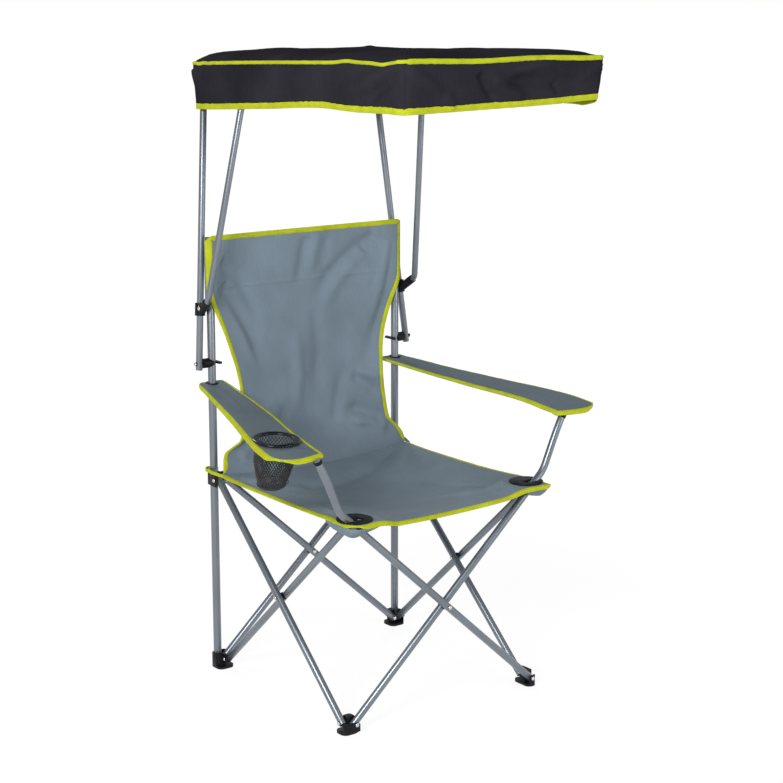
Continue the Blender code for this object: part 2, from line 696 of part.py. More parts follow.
def bracket(name, side):
    """The collar on the straight pole, with an arm that carries the brace's socket."""
    collar, socket = bracket_places(side)
    along = (pole_point(side, POLE_TOP) - collar).normalized()
    half = along * (BRACKET_LENGTH / 2)
    made = rod(name, collar - half, collar + half, POLE_R + WALL, 2 * PIN_SIDES)
    plate = Vector((side * WALL, 0, SOCKET_LENGTH / 2))
    arm = box("arm", collar - plate, socket + plate)
    up = (brace_route(side)[1] - socket).normalized()
    lift = up * (SOCKET_LENGTH / 2)
    cup = rod("cup", socket - lift, socket + lift, BRACE_DIAMETER / 2 + WALL / 2, 2 * PIN_SIDES)
    combine(made, [arm, cup], "UNION")
    bore = rod("bore", collar - 2 * half, collar + 2 * half, POLE_R + CLEARANCE, 2 * PIN_SIDES)
    brace_r = BRACE_DIAMETER / 2 + CLEARANCE
    seat_bore = rod("seat", socket - up * CLEARANCE, socket + 2 * lift, brace_r, 2 * PIN_SIDES)
    combine(made, [bore, seat_bore], "DIFFERENCE")
    return finish(made, collar, "black_plastic")


def between(low, high, share):
    return low + (high - low) * share


def table_value(rows, share):
    """A value read from rows of (share, value), straight between them."""
    for (low, first), (high, second) in zip(rows, rows[1:]):
        if share <= high:
            return between(first, second, (share - low) / (high - low))
    return rows[-1][1]


def seat_place(across, along):
    """The sling seat: along runs from the front edge to the rear, with folds drawn from its corners."""
    middle = 2 * across - 1
    bulge = math.sin(math.pi * along)
    half = between(HALF + SEAT_CORNER_OUT, SEAT_REAR_HALF_WIDTH, along) - SEAT_SIDE_DRAW * bulge
    front = -(HALF + SEAT_CORNER_AWAY) + SEAT_FRONT_DRAW * (1 - middle**2)
    y = between(front, SEAT_REAR_Y, along)
    dish = (1 - middle**2) * (SEAT_END_SAG + (SEAT_SAG - SEAT_END_SAG) * bulge)
    rim_sag = SEAT_SIDE_SAG * bulge * middle**2
    fold = RIPPLE * math.cos(5 * math.pi * middle) * (1 - middle**2) * (1 - bulge / 2)
    return Vector((half * middle, y, SEAT_HEIGHT - dish - rim_sag + fold * bulge))


def back_place(across, along):
    """The back: along runs from the seat up to the head, narrow at the waist."""
    middle = 2 * across - 1
    half = BACK_HALF_WIDTH * table_value(BACK_WIDTH_SHARES, along)
    y = between(BACK_FOOT_Y, BACK_HEAD_Y, min(1, along / BACK_WIDTH_SHARES[-2][0]))
    bow = BACK_BOW * (1 - middle**2) * math.sin(math.pi * between(BACK_BOW_START, 1, along))
    fold = RIPPLE * math.cos(4 * math.pi * middle) * (1 - middle**2)
    seam_dip = SEAT_END_SAG * (1 - middle**2) * (1 - along) ** 8
    return Vector((half * middle, y + bow + fold * along, BACK_BOTTOM + BACK_HEIGHT * along - seam_dip))


def seat(name):
    made = sheet(name, 16, 14, seat_place, CLOTH)
    cuts = []
    for side in (RIGHT, LEFT):
        away = cross_offset(side, FRONT, True)
        reach = DISC_RISE * math.tan(LEAN) + TUBE_R / math.cos(LEAN)
        low, high = DISC_RISE - 4 * CLOTH, DISC_RISE + CLOTH
        lip = -LIP - CORNER_RELIEF
        outs = (lip, reach + CORNER_RELIEF)
        aways = (lip, away + TUBE_R + CORNER_RELIEF)
        cuts.append(block(side, FRONT, outs, aways, (HUB_PIVOT_HEIGHT + low, HUB_PIVOT_HEIGHT + high)))
    combine(made, cuts, "DIFFERENCE")
    return finish(made, (0, SEAT_REAR_Y, SEAT_HEIGHT), "slate_cloth")


def back(name):
    """The back with a pocket over the top of each post."""
    made = sheet(name, 16, 20, back_place, CLOTH)
    high = BACK_BOTTOM + BACK_HEIGHT - CLOTH / 2
    low = high - POCKET_LENGTH
    pockets = [
        rod("pocket", post_point(side, low), post_point(side, high), POCKET_RADIUS, 2 * PIN_SIDES)
        for side in (RIGHT, LEFT)
    ]
    combine(made, pockets, "UNION")
    bores = [post_cutter(side, (BACK_BOTTOM, POST_TOP + CLEARANCE)) for side in (RIGHT, LEFT)]
    combine(made, bores, "DIFFERENCE")
    return finish(made, (0, BACK_FOOT_Y, BACK_BOTTOM), "slate_cloth")


def arm_tip(side):
    hub_pivot = spot(side, FRONT, 0, cross_offset(side, FRONT, True), HUB_PIVOT_HEIGHT)
    return arm_route(hub_pivot, side)[-1]


def armrest_height(side, y):
    """The armrest falls from the post to the tip of the arm post, and lies on it."""
    tip = arm_tip(side)
    tip_lean = math.atan2(ARM_TIP_OUT, ARM_TIP_UP)
    front_z = tip.z + TUBE_R * math.sin(tip_lean) + CLEARANCE + ARMREST_THICKNESS / 2
    return between(ARMREST_REAR_Z, front_z, (ARMREST_REAR_Y - y) / (ARMREST_REAR_Y - tip.y))


def armrest_place(side):
    def place(across, along):
        inner = HALF + between(ARMREST_REAR_OUTS[0], ARMREST_FRONT_OUTS[0], along**0.75)
        outer = HALF + between(ARMREST_REAR_OUTS[1], ARMREST_FRONT_OUTS[1], 1 - (1 - along) ** 1.3)
        ends = ARMREST_END_SHARE + (1 - ARMREST_END_SHARE) * (1 - abs(2 * along - 1) ** 14)
        out = (inner + outer) / 2 + (across - 0.5) * (outer - inner) * ends
        y = between(ARMREST_REAR_Y, ARMREST_FRONT_Y, along)
        return Vector((side * out, y, armrest_height(side, y)))

    return place


def armrest(name, side):
    made = sheet(name, 8, 16, armrest_place(side), ARMREST_THICKNESS)
    cuts = [post_cutter(side, (ARMREST_REAR_Z - POST_DIAMETER, ARMREST_REAR_Z + POST_DIAMETER))]
    if side == RIGHT:
        low, high = cup_axis_point(-2 * ARMREST_THICKNESS), cup_axis_point(2 * ARMREST_THICKNESS)
        cuts.append(rod("hole", low, high, CUP_RING_RADIUS - CUP_RING_WIRE + CLEARANCE, 2 * TUBE_SIDES))
    combine(made, cuts, "DIFFERENCE")
    return finish(made, post_point(side, ARMREST_REAR_Z), "slate_cloth")


def cup_axis_point(rise):
    """A point on the cup holder's axis, which stands square on the armrest."""
    base = Vector((-CUP_OUT, CUP_Y, armrest_height(RIGHT, CUP_Y)))
    slope = armrest_height(RIGHT, CUP_Y) - armrest_height(RIGHT, CUP_Y - ARMREST_THICKNESS)
    upright = Vector((0, -slope, ARMREST_THICKNESS)).normalized()
    return base + upright * rise


def turned(name, profile):
    """A profile of (radius, rise) pairs turned about the cup holder's axis."""
    bm = bmesh.new()
    knots = [bm.verts.new((radius, 0, rise)) for radius, rise in profile]
    for first, second in zip(knots, knots[1:] + knots[:1]):
        bm.edges.new((first, second))
    made = bpy.data.objects.new(name, bpy.data.meshes.new(name))
    bm.to_mesh(made.data)
    bm.free()
    PARTS.objects.link(made)
    spin = made.modifiers.new("spin", "SCREW")
    spin.steps = spin.render_steps = 2 * TUBE_SIDES
    spin.use_merge_vertices = True
    spin.merge_threshold = CLEARANCE / 3
    bake(made)
    axis = cup_axis_point(ARMREST_THICKNESS) - cup_axis_point(0)
    turn = axis.to_track_quat("Z", "Y").to_matrix().to_4x4()
    made.data.transform(Matrix.Translation(cup_axis_point(0)) @ turn)
    bm = bmesh.new()
    bm.from_mesh(made.data)
    bmesh.ops.recalc_face_normals(bm, faces=bm.faces)
    bm.to_mesh(made.data)
    bm.free()
    return made


def cup_ring(name):
    """The black wire ring that lies on the armrest round the cup's hole."""
    lift = ARMREST_THICKNESS / 2 + CUP_RING_WIRE + CLEARANCE
    profile = []
    for step in range(PIN_SIDES):
        turn = 2 * math.pi * step / PIN_SIDES
        radius = CUP_RING_RADIUS + CUP_RING_WIRE * math.cos(turn)
        profile.append((radius, lift + CUP_RING_WIRE * math.sin(turn)))
    return finish(turned(name, profile), cup_axis_point(0), "black_plastic")


def cup_net(name):
    """The net bag that hangs in the ring: a tapering cup with an open mouth."""
    lift = ARMREST_THICKNESS / 2 + CUP_RING_WIRE + CLEARANCE
    mouth = CUP_RING_RADIUS - CUP_RING_WIRE - CLEARANCE
    floor = lift - CUP_DEPTH
    shoulder = CUP_FLOOR_RADIUS / 4
    profile = [
        (0, floor), (CUP_FLOOR_RADIUS - shoulder, floor),
        (CUP_FLOOR_RADIUS, floor + shoulder), (mouth, lift),
        (mouth - CUP_MESH, lift), (CUP_FLOOR_RADIUS - CUP_MESH, floor + shoulder),
        (CUP_FLOOR_RADIUS - shoulder, floor + CUP_MESH), (0, floor + CUP_MESH),
    ]
    return finish(turned(name, profile), cup_axis_point(0), "black_net")


def canopy_ring(inset, scale=1.0):
    """Points round the canopy's plan, a rounded rectangle drawn in by inset and then shrunk by scale."""
    half_x = CANOPY_HALF_WIDTH - CANOPY_CORNER_RADIUS
    half_y = (CANOPY_REAR_Y - CANOPY_FRONT_Y) / 2 - CANOPY_CORNER_RADIUS
    radius = CANOPY_CORNER_RADIUS - inset
    corners = []
    for quarter, (sign_x, sign_y) in enumerate(((1, 1), (-1, 1), (-1, -1), (1, -1))):
        turns = [math.pi / 2 * (quarter + step / CORNER_STEPS) for step in range(CORNER_STEPS + 1)]
        centre = Vector((sign_x * half_x, sign_y * half_y))
        corners.append([centre + radius * Vector((math.cos(turn), math.sin(turn))) for turn in turns])
    points = []
    for corner, following in zip(corners, corners[1:] + corners[:1]):
        points += corner
        points += [corner[-1].lerp(following[0], step / EDGE_STEPS) for step in range(1, EDGE_STEPS)]
    return [point * scale for point in points]


def canopy(name):
    """One cloth: a slightly crowned top and a valance that hangs from it all round, with shallow folds."""
    centre_y = (CANOPY_REAR_Y + CANOPY_FRONT_Y) / 2
    slope = (CANOPY_FRONT_HEIGHT - CANOPY_REAR_HEIGHT) / (CANOPY_FRONT_Y - CANOPY_REAR_Y)
    bm = bmesh.new()

    def vertex(x, y, rise):
        height = CANOPY_REAR_HEIGHT + slope * (centre_y + y - CANOPY_REAR_Y)
        return bm.verts.new((x, centre_y + y, height + rise))

    rings = []
    for scale in TOP_RING_SHARES:
        ring = canopy_ring(CANOPY_CLOTH / 2, scale)
        rings.append([vertex(*point, CANOPY_CROWN * (1 - scale**2)) for point in ring])
    for drop in VALANCE_RING_SHARES:
        plain = canopy_ring(CANOPY_CLOTH / 2 + VALANCE_TUCK * drop)
        drawn = canopy_ring(CANOPY_CLOTH / 2 + (VALANCE_TUCK + VALANCE_FOLD) * drop)
        pairs = enumerate(zip(plain, drawn))
        rings.append([vertex(*pair[index % 2], -VALANCE_DEPTH * drop) for index, pair in pairs])
    top = vertex(0, 0, CANOPY_CROWN)
    count = len(rings[0])
    for index in range(count):
        after = (index + 1) % count
        bm.faces.new((top, rings[0][index], rings[0][after]))
        for upper, lower in zip(rings, rings[1:]):
            bm.faces.new((upper[index], lower[index], lower[after], upper[after]))
    made = object_from(name, bm)
    solid = made.modifiers.new("cloth", "SOLIDIFY")
    solid.thickness = CANOPY_CLOTH
    solid.offset = 0
    solid.use_even_offset = True
    bake(made)
    return finish(made, rail_pivot(RIGHT), "black_cloth")


for old in list(bpy.data.objects):
    bpy.data.objects.remove(old)
PARTS = collection("canopy_folding_chair")
CHAIR = bpy.data.objects.new("chair", None)
PARTS.objects.link(CHAIR)
CHAIR.location = (0, CENTRE_SHIFT, 0)

SIDES = ((RIGHT, "right"), (LEFT, "left"))
ENDS = ((REAR, "rear"), (FRONT, "front"))

for side, side_word in SIDES:
    post(f"{side_word}_post", side)
    side_tubes(side, side_word)
    plane = (OUTER_SIDE_OFFSET + INNER_SIDE_OFFSET) / 2
    middle_rivet(f"{side_word}_side_rivet", (side * (HALF + plane), 0, MID_HEIGHT), (1, 0, 0))
    for end, end_word in ENDS:
        foot(f"{side_word}_{end_word}_foot", side, end)
        hub(f"{side_word}_slider" if end == REAR else f"{side_word}_front_hub", side, end)
        for top, level in ((False, "foot"), (True, "hub")):
            for kind, place in pin_places(side, end, top).items():
                pin(f"{side_word}_{end_word}_{level}_{kind}_pin", *place)
    spacer(f"{side_word}_spacer", side)
    wing_bolt(f"{side_word}_wing_bolt", side)
    straight_pole(f"{side_word}_pole", side)
    bracket(f"{side_word}_bracket", side)
    brace(f"{side_word}_brace", side)
    rail(f"{side_word}_rail", side)
    armrest(f"{side_word}_armrest", side)

for end, end_word, offsets in (
    (REAR, "rear", (INNER_REAR_OFFSET, OUTER_REAR_OFFSET)),
    (FRONT, "front", (INNER_FRONT_OFFSET, OUTER_FRONT_OFFSET)),
):
    cross_tubes(end, end_word)
    middle_rivet(f"{end_word}_rivet", (0, end * (HALF + sum(offsets) / 2), MID_HEIGHT), (0, 1, 0))

seat("seat")
back("back")
cup_ring("cup_ring")
cup_net("cup_net")
canopy("canopy")
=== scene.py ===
"""Canopy folding chair: the looks of every piece, in the order in which the chair is put together.

Metres, +Z up, the sitter faces -Y and +X is the sitter's left.
"""

import json
import math

import bpy
import numpy as np
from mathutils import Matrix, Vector, noise

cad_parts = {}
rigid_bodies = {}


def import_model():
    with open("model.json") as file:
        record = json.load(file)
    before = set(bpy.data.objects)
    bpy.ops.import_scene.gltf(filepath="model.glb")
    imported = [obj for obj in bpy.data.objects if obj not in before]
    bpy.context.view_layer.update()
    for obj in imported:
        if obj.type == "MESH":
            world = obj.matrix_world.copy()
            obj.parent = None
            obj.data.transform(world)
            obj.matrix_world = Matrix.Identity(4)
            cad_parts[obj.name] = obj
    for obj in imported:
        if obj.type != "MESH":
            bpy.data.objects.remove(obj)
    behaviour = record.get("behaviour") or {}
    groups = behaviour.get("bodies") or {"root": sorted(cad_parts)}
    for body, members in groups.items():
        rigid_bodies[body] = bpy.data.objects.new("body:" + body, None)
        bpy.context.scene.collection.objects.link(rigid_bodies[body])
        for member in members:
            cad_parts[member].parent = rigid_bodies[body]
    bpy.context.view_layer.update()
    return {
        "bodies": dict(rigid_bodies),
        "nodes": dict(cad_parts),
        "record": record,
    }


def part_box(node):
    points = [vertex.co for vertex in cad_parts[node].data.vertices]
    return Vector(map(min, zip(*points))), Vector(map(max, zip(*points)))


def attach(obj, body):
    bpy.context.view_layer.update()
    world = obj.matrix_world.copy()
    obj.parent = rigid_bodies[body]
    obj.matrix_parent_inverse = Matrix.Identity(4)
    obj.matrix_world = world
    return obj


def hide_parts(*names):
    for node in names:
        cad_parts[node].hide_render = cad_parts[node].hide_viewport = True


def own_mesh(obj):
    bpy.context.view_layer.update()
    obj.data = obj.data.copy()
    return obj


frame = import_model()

# ------------------------------------------------------------------------------------------------
# Tubes. Legs, posts, poles and canopy rails are thin-walled steel tube, sawn to length, bent where
# they bend, and powder coated in silver. Each is drawn along its axis, then its sawn ends are
# hollowed and their rims eased.

LEG_X, REAR_Y, FRONT_Y, FOOT_Z, HUB_Z = 0.235, 0.302, -0.168, 0.020, 0.445
# The planes of the side and cross tubes that start at each side's feet
SIDE_X = {-1: {"rising": 0.2354, "falling": 0.2526}, 1: {"rising": 0.2526, "falling": 0.2354}}
CROSS_Y = {-1: {"rear": 0.3206, "front": -0.1858}, 1: {"rear": 0.3034, "front": -0.203}}
TUBE_R, TUBE_END, TUBE_WALL, BORE_DEPTH = 0.008, 0.005, 0.0011, 0.012
POST_X, POST_Y, POST_R, POST_ENDS = 0.2538, 0.321074, 0.009, (0.007, 0.982)
POLE_R, BRACE_R, RAIL_R = 0.0075, 0.007, 0.006
POLE_X, POLE_Z, POLE_TAIL, POLE_TOP = 0.286, 0.710, 0.014, 1.327
LEAN_IN, LEAN_BACK = math.tan(math.radians(5.2)), math.tan(math.radians(4.4))
BRACKET_Z, BRACE_TOP_Y, BRACE_TOP_GAP, BRACE_PAST, RAIL_PAST = 0.830, 0.191, 0.0017, 0.007, 0.007
# From the bracket's middle: outwards, forwards and up
BRACE_FOOT, BRACE_KINK = (0.003, -0.020, 0.004), (0.008, -0.048, 0.026)
RAIL_START, RAIL_END = (0.21666, 0.36801, 1.320), (0.234, -0.361, 1.359)
# How far the arm posts run on beyond their hub pivots, outwards and up, bend by bend
ARM_BENDS = ((0.045, 0.045 * (HUB_Z - FOOT_Z) / (2 * LEG_X)), (0.031, 0.071), (0.024, 0.049))
SIDES, WELD = ((-1, "right"), (1, "left")), 1e-5
BODY_OF = {
    node: body for body, nodes in frame["record"]["behaviour"]["bodies"].items() for node in nodes
}


def shader_of(name, colour, roughness, **sockets):
    """A new material with its Principled shader, and the shader's plain values."""
    made = bpy.data.materials.new(name)
    made.use_nodes = True
    shader = made.node_tree.nodes["Principled BSDF"]
    shader.inputs["Base Color"].default_value = (*colour, 1)
    shader.inputs["Roughness"].default_value = roughness
    for socket, value in sockets.items():
        shader.inputs[socket.replace("_", " ")].default_value = value
    return made, made.node_tree, shader


def add(tree, kind, inputs=(), **settings):
    """A new node with its settings, and its inputs as values or as links from other sockets."""
    made = tree.nodes.new("ShaderNode" + kind)
    for key, value in settings.items():
        setattr(made, key, value)
    for key, value in dict(inputs).items():
        if isinstance(value, bpy.types.NodeSocket):
            tree.links.new(value, made.inputs[key])
        else:
            made.inputs[key].default_value = value
    return made


def noise_of(tree, vector, scale, detail=2.0):
    return add(tree, "TexNoise", {"Vector": vector, "Scale": scale, "Detail": detail}).outputs[0]


def tone(tree, shader, factor, colour, spread, low=0.3, high=0.7):
    """Varies the base colour from darker to lighter as factor goes from low to high."""
    ramp = add(tree, "ValToRGB", {"Fac": factor})
    ends = ramp.color_ramp.elements
    for end, place, share in ((ends[0], low, 1 - spread), (ends[1], high, 1 + spread)):
        end.position = place
        end.color = (*(channel * share for channel in colour), 1)
    tree.links.new(ramp.outputs[0], shader.inputs["Base Color"])


def bumped(tree, shader, height, strength, distance):
    bump = add(tree, "Bump", {"Height": height, "Strength": strength, "Distance": distance})
    tree.links.new(bump.outputs[0], shader.inputs["Normal"])


def rough(tree, shader, factor, low, high):
    spread = add(tree, "MapRange", {"Value": factor, "From Min": 0.3, "From Max": 0.7,
                                    "To Min": low, "To Max": high})
    tree.links.new(spread.outputs[0], shader.inputs["Roughness"])


def coat(name, colour, roughness, cloud, dull=None, bump=None, **sockets):
    """A plain finish, with its colour clouded by (scale, detail, spread), its roughness by (scale,
    detail, low, high) and its surface uneven by (scale, strength, distance)."""
    made, tree, shader = shader_of(name, colour, roughness, **sockets)
    place = add(tree, "TexCoord").outputs["Object"]
    tone(tree, shader, noise_of(tree, place, *cloud[:2]), colour, cloud[2])
    if dull:
        rough(tree, shader, noise_of(tree, place, *dull[:2]), *dull[2:])
    if bump:
        bumped(tree, shader, noise_of(tree, place, bump[0]), *bump[1:])
    return made


SILVER = coat("silver_powder_coat", (0.193, 0.215, 0.243), 0.26, (9, 3, 0.10), (14, 2, 0.28, 0.38),
              Metallic=0.70)


def only(piece):
    """Makes a piece the only thing selected."""
    bpy.ops.object.select_all(action="DESELECT")
    piece.select_set(True)
    bpy.context.view_layer.objects.active = piece


def added(operator, **settings):
    """The object that an operator adds."""
    bpy.ops.object.select_all(action="DESELECT")
    operator(**settings)
    return bpy.context.object


def edited(piece, *steps):
    """Runs operators on the whole of a piece's mesh. A step is an operator and its settings."""
    only(piece)
    bpy.ops.object.mode_set(mode="EDIT")
    bpy.ops.mesh.select_all(action="SELECT")
    for operator, settings in steps:
        operator(**settings)
    bpy.ops.object.mode_set(mode="OBJECT")
    return piece


def on_chosen(items, chosen, *steps):
    """Runs operators on the faces or edges of the active piece that pass a test."""
    for item in items:
        item.select = chosen(item)
    bpy.ops.object.mode_set(mode="EDIT")
    for operator, settings in steps:
        operator(**settings)
    bpy.ops.object.mode_set(mode="OBJECT")


def modified(piece, kind, **settings):
    """Adds a modifier and applies it."""
    only(piece)
    modifier = piece.modifiers.new(kind.lower(), kind)
    for key, value in settings.items():
        setattr(modifier, key, value)
    bpy.ops.object.modifier_apply(modifier=modifier.name)


def settled(piece, angle=40):
    """Moves a piece's place into its mesh and smooths all but its sharp edges."""
    only(piece)
    bpy.ops.object.transform_apply(location=True, rotation=True, scale=True)
    bpy.ops.object.shade_smooth_by_angle(angle=math.radians(angle))
    return piece


def fitted(piece, node, finish, replace=True, name=None):
    """Gives a piece its finish and sets it on the body of a solid, in that solid's place."""
    piece.name = name or piece.name
    piece.data.materials.clear()
    piece.data.materials.append(finish)
    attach(piece, BODY_OF[node])
    if replace:
        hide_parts(node)
    return piece


def path_of(routes, rings=0, location=(0, 0, 0), **settings):
    """A mesh from curves along routes. The last of them, rings in number, are closed."""
    path = added(bpy.ops.curve.primitive_nurbs_path_add, location=location)
    for key, value in settings.items():
        setattr(path.data, key, value)
    path.data.splines.clear()
    for index, route in enumerate(routes):
        spline = path.data.splines.new("POLY")
        spline.points.add(len(route) - 1)
        spline.use_cyclic_u = index >= len(routes) - rings
        for knot, place in zip(spline.points, route):
            knot.co = (*place, 1)
    bpy.ops.object.convert(target="MESH")
    return bpy.context.object


def drawn_tube(name, route, radius, hollow=True):
    """A round tube along a route."""
    tube = path_of([route], bevel_depth=radius, bevel_resolution=10, use_fill_caps=True)
    tube.name = name
    edited(tube, (bpy.ops.mesh.remove_doubles, {"threshold": WELD}),
           (bpy.ops.mesh.normals_make_consistent, {"inside": False}),
           (bpy.ops.mesh.select_all, {"action": "DESELECT"}),
           (bpy.ops.mesh.select_mode, {"type": "FACE"}))
    bore = (bpy.ops.mesh.extrude_region_shrink_fatten,
            {"TRANSFORM_OT_shrink_fatten": {"value": -BORE_DEPTH}})
    on_chosen(tube.data.polygons, lambda face: len(face.vertices) > 4,
              (bpy.ops.mesh.inset, {"thickness": TUBE_WALL, "use_individual": True}),
              *([bore] if hollow else []))
    modified(tube, "BEVEL", width=0.0004, segments=2, angle_limit=math.radians(50))
    return settled(tube)


def eased(points, radius, steps=9):
    """A route with its inner corners rounded, each from a radius before it to a radius after."""
    route = [Vector(points[0])]
    for before, corner, after in zip(points, points[1:], points[2:]):
        before, corner, after = Vector(before), Vector(corner), Vector(after)
        entry = corner + (before - corner).normalized() * radius
        leave = corner + (after - corner).normalized() * radius
        for step in range(steps + 1):
            t = step / steps
            route.append(entry * (1 - t) ** 2 + corner * (2 * t * (1 - t)) + leave * t**2)
    route.append(Vector(points[-1]))
    return route


def leg_ends(low, high):
    """A leg tube's route from foot pivot to hub pivot, a little past both."""
    low, high = Vector(low), Vector(high)
    past = (high - low).normalized() * TUBE_END
    return [low - past, high + past]


def pole_point(side, height):
    rise = height - POLE_Z
    return Vector((side * (POLE_X - rise * LEAN_IN), POST_Y + rise * LEAN_BACK, height))


def rail_point(side, y):
    share = (y - RAIL_START[1]) / (RAIL_END[1] - RAIL_START[1])
    across, _, up = (a + (b - a) * share for a, b in zip(RAIL_START, RAIL_END))
    return Vector((side * across, y, up))


def beside(place, side, offset):
    """A place moved by an offset of outwards, backwards and up."""
    return place + Vector((side * offset[0], *offset[1:]))


tubes = {}
for side, word in SIDES:
    tubes[word + "_post"] = [(side * POST_X, POST_Y, end) for end in POST_ENDS], POST_R
    for label, start, end in (("rising", REAR_Y, FRONT_Y), ("falling", FRONT_Y, REAR_Y)):
        x = side * SIDE_X[side][label]
        tubes[f"{word}_side_tube_{label}"] = leg_ends((x, start, FOOT_Z), (x, end, HUB_Z)), TUBE_R
    for end, y in CROSS_Y[side].items():
        route = leg_ends((side * LEG_X, y, FOOT_Z), (-side * LEG_X, y, HUB_Z))
        if end == "front":
            corner = Vector((-side * LEG_X, y, HUB_Z))
            route = route[:1]
            for out, up in ARM_BENDS:
                corner = beside(corner, -side, (out, 0, up))
                route.append(corner)
            route = eased(route, 2 * TUBE_R)
        tubes[f"{end}_tube_from_{word}"] = route, TUBE_R
    ends = POLE_Z - POLE_TAIL, POLE_TOP
    tubes[word + "_pole"] = [pole_point(side, end) for end in ends], POLE_R
    collar = pole_point(side, BRACKET_Z)
    kink = beside(collar, side, BRACE_KINK)
    top = beside(rail_point(side, BRACE_TOP_Y), side, (RAIL_R + BRACE_R + BRACE_TOP_GAP, 0, 0))
    top += (top - kink).normalized() * BRACE_PAST
    route = eased([beside(collar, side, BRACE_FOOT), kink, top], 1.25 * BRACE_R)
    tubes[word + "_brace"] = route, BRACE_R
    ends = RAIL_START[1] + RAIL_PAST, RAIL_END[1]
    tubes[word + "_rail"] = [rail_point(side, end) for end in ends], RAIL_R
for node, (route, radius) in tubes.items():
    fitted(drawn_tube(node + "_steel", route, radius), node, SILVER)

# ------------------------------------------------------------------------------------------------
# Feet, sliders, seat hubs, spacers and wing bolts. Injection-moulded black nylon with rounded outer
# corners and a light satin texture, its tone clouded at random. Each starts from its solid, cleaned
# of loose triangles, and its outer upright corners and every rim are then rounded.

CORNER_ROUND, RIM_ROUND = {"foot": 0.0130, "slider": 0.0055}, 0.0006
BLOCK_OVER, WING_REACH, WING_SHARE = 0.002, 0.008, 0.42
# The wall round the front of a front foot
BOOT_LOW, BOOT_TOP, BOOT_WALL, BOOT_ROUND, BOOT_GAP = 0.0015, 0.0270, 0.0022, 0.009, 0.0024
BOOT_BACK, BOOT_INNER, BOOT_TAPER = 0.004, 0.001, 0.012
BLACK_NYLON = coat("black_nylon", (0.007, 0.007, 0.009), 0.42, (60, 4, 0.35), (130, 3, 0.34, 0.55),
                   (1400, 0.06, 0.0002), Specular_IOR_Level=0.16)


def merged_copy(node, name):
    """A solid's mesh as a new piece, with its triangles merged back into whole faces."""
    made = bpy.data.objects.new(name, frame["nodes"][node].data.copy())
    bpy.context.scene.collection.objects.link(made)
    made.data.materials.clear()
    return edited(made, (bpy.ops.mesh.remove_doubles, {"threshold": WELD}),
                  (bpy.ops.mesh.dissolve_limited, {"angle_limit": math.radians(1)}),
                  (bpy.ops.mesh.select_all, {"action": "DESELECT"}))


def cut_or_added(piece, other, operation):
    modified(piece, "BOOLEAN", operation=operation, object=other, solver="EXACT")
    bpy.data.objects.remove(other)


def scaled(piece, value):
    return edited(piece, (bpy.ops.transform.resize, {"value": value}))


def rounded_block(low, high, radius):
    """A block over a box, a little taller than it, with its upright corners rounded."""
    block = added(bpy.ops.mesh.primitive_cube_add, size=1, location=(low + high) / 2)
    settled(scaled(block, high - low + Vector((0, 0, BLOCK_OVER))))
    edited(block, (bpy.ops.mesh.select_mode, {"type": "EDGE"}),
           (bpy.ops.mesh.select_all, {"action": "DESELECT"}))
    height = [corner.co.z for corner in block.data.vertices]

    def upright(edge):
        return abs(height[edge.vertices[0]] - height[edge.vertices[1]]) > BLOCK_OVER
    on_chosen(block.data.edges, upright,
              (bpy.ops.mesh.bevel, {"offset": radius, "segments": 8, "affect": "EDGES",
                                    "clamp_overlap": True}))
    return block


def joined(parts, name):
    bpy.ops.object.select_all(action="DESELECT")
    for part in parts:
        part.select_set(True)
    bpy.context.view_layer.objects.active = parts[0]
    if len(parts) > 1:
        bpy.ops.object.join()
    parts[0].name = name
    return parts[0]


def boot_wall(side, node):
    """The front wall of a front foot, past the cross tube's end and round its outer corner."""
    low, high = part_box(node)
    planes = SIDE_X[side]["falling"], -CROSS_Y[side]["front"]
    out, away = (plane + TUBE_R + BOOT_GAP for plane in planes)
    back, inner = -away + BOOT_ROUND + BOOT_BACK, min(abs(low.x), abs(high.x)) + BOOT_INNER
    plan = [(out, back)]
    for step in range(9):
        turn = math.pi / 2 * step / 8
        plan.append((out - BOOT_ROUND + BOOT_ROUND * math.cos(turn),
                     -away + BOOT_ROUND - BOOT_ROUND * math.sin(turn)))
    plan += [((out + inner) / 2, -away), (inner, -away)]
    wall = path_of([[(side * x, y, 0) for x, y in plan]], dimensions="2D",
                   location=(0, 0, (BOOT_LOW + BOOT_TOP) / 2), extrude=(BOOT_TOP - BOOT_LOW) / 2)
    bpy.ops.object.transform_apply(location=True, rotation=True, scale=True)
    for corner in wall.data.vertices:
        end = min(abs(corner.co.y - back), abs(abs(corner.co.x) - inner))
        taper = max(0.0, 1 - end / BOOT_TAPER) ** 2
        corner.co.z += -0.006 * taper if corner.co.z > BOOT_TOP / 2 else 0.003 * taper
    modified(wall, "SOLIDIFY", thickness=BOOT_WALL, offset=0)
    modified(wall, "BEVEL", width=0.0007, segments=2, angle_limit=math.radians(40))
    return wall


def moulding(side, node, kind):
    made = merged_copy(node, node + "_moulding")
    if kind.endswith(("foot", "slider")):
        block = rounded_block(*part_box(node), CORNER_ROUND[kind.split("_")[-1]])
        cut_or_added(made, block, "INTERSECT")
    if kind == "wing_bolt":
        for corner in made.data.vertices:
            if abs(corner.co.y - POST_Y) > WING_REACH:
                corner.co.z = POLE_Z + (corner.co.z - POLE_Z) * WING_SHARE
    modified(made, "BEVEL", width=RIM_ROUND, segments=2, angle_limit=math.radians(32),
             use_clamp_overlap=True)
    if kind == "front_foot":
        made = joined([made, boot_wall(side, node)], node + "_moulding")
    fitted(settled(made, 35), node, BLACK_NYLON)


for side, word in SIDES:
    for kind in ("rear_foot", "front_foot", "slider", "front_hub", "spacer", "wing_bolt"):
        moulding(side, f"{word}_{kind}", kind)

# ------------------------------------------------------------------------------------------------
# Canopy brackets. A nylon collar clamped on each pole, with a slanting socket that holds the lower
# end of the bent brace. Each is turned up from round stock, bored for its pole, and eased.

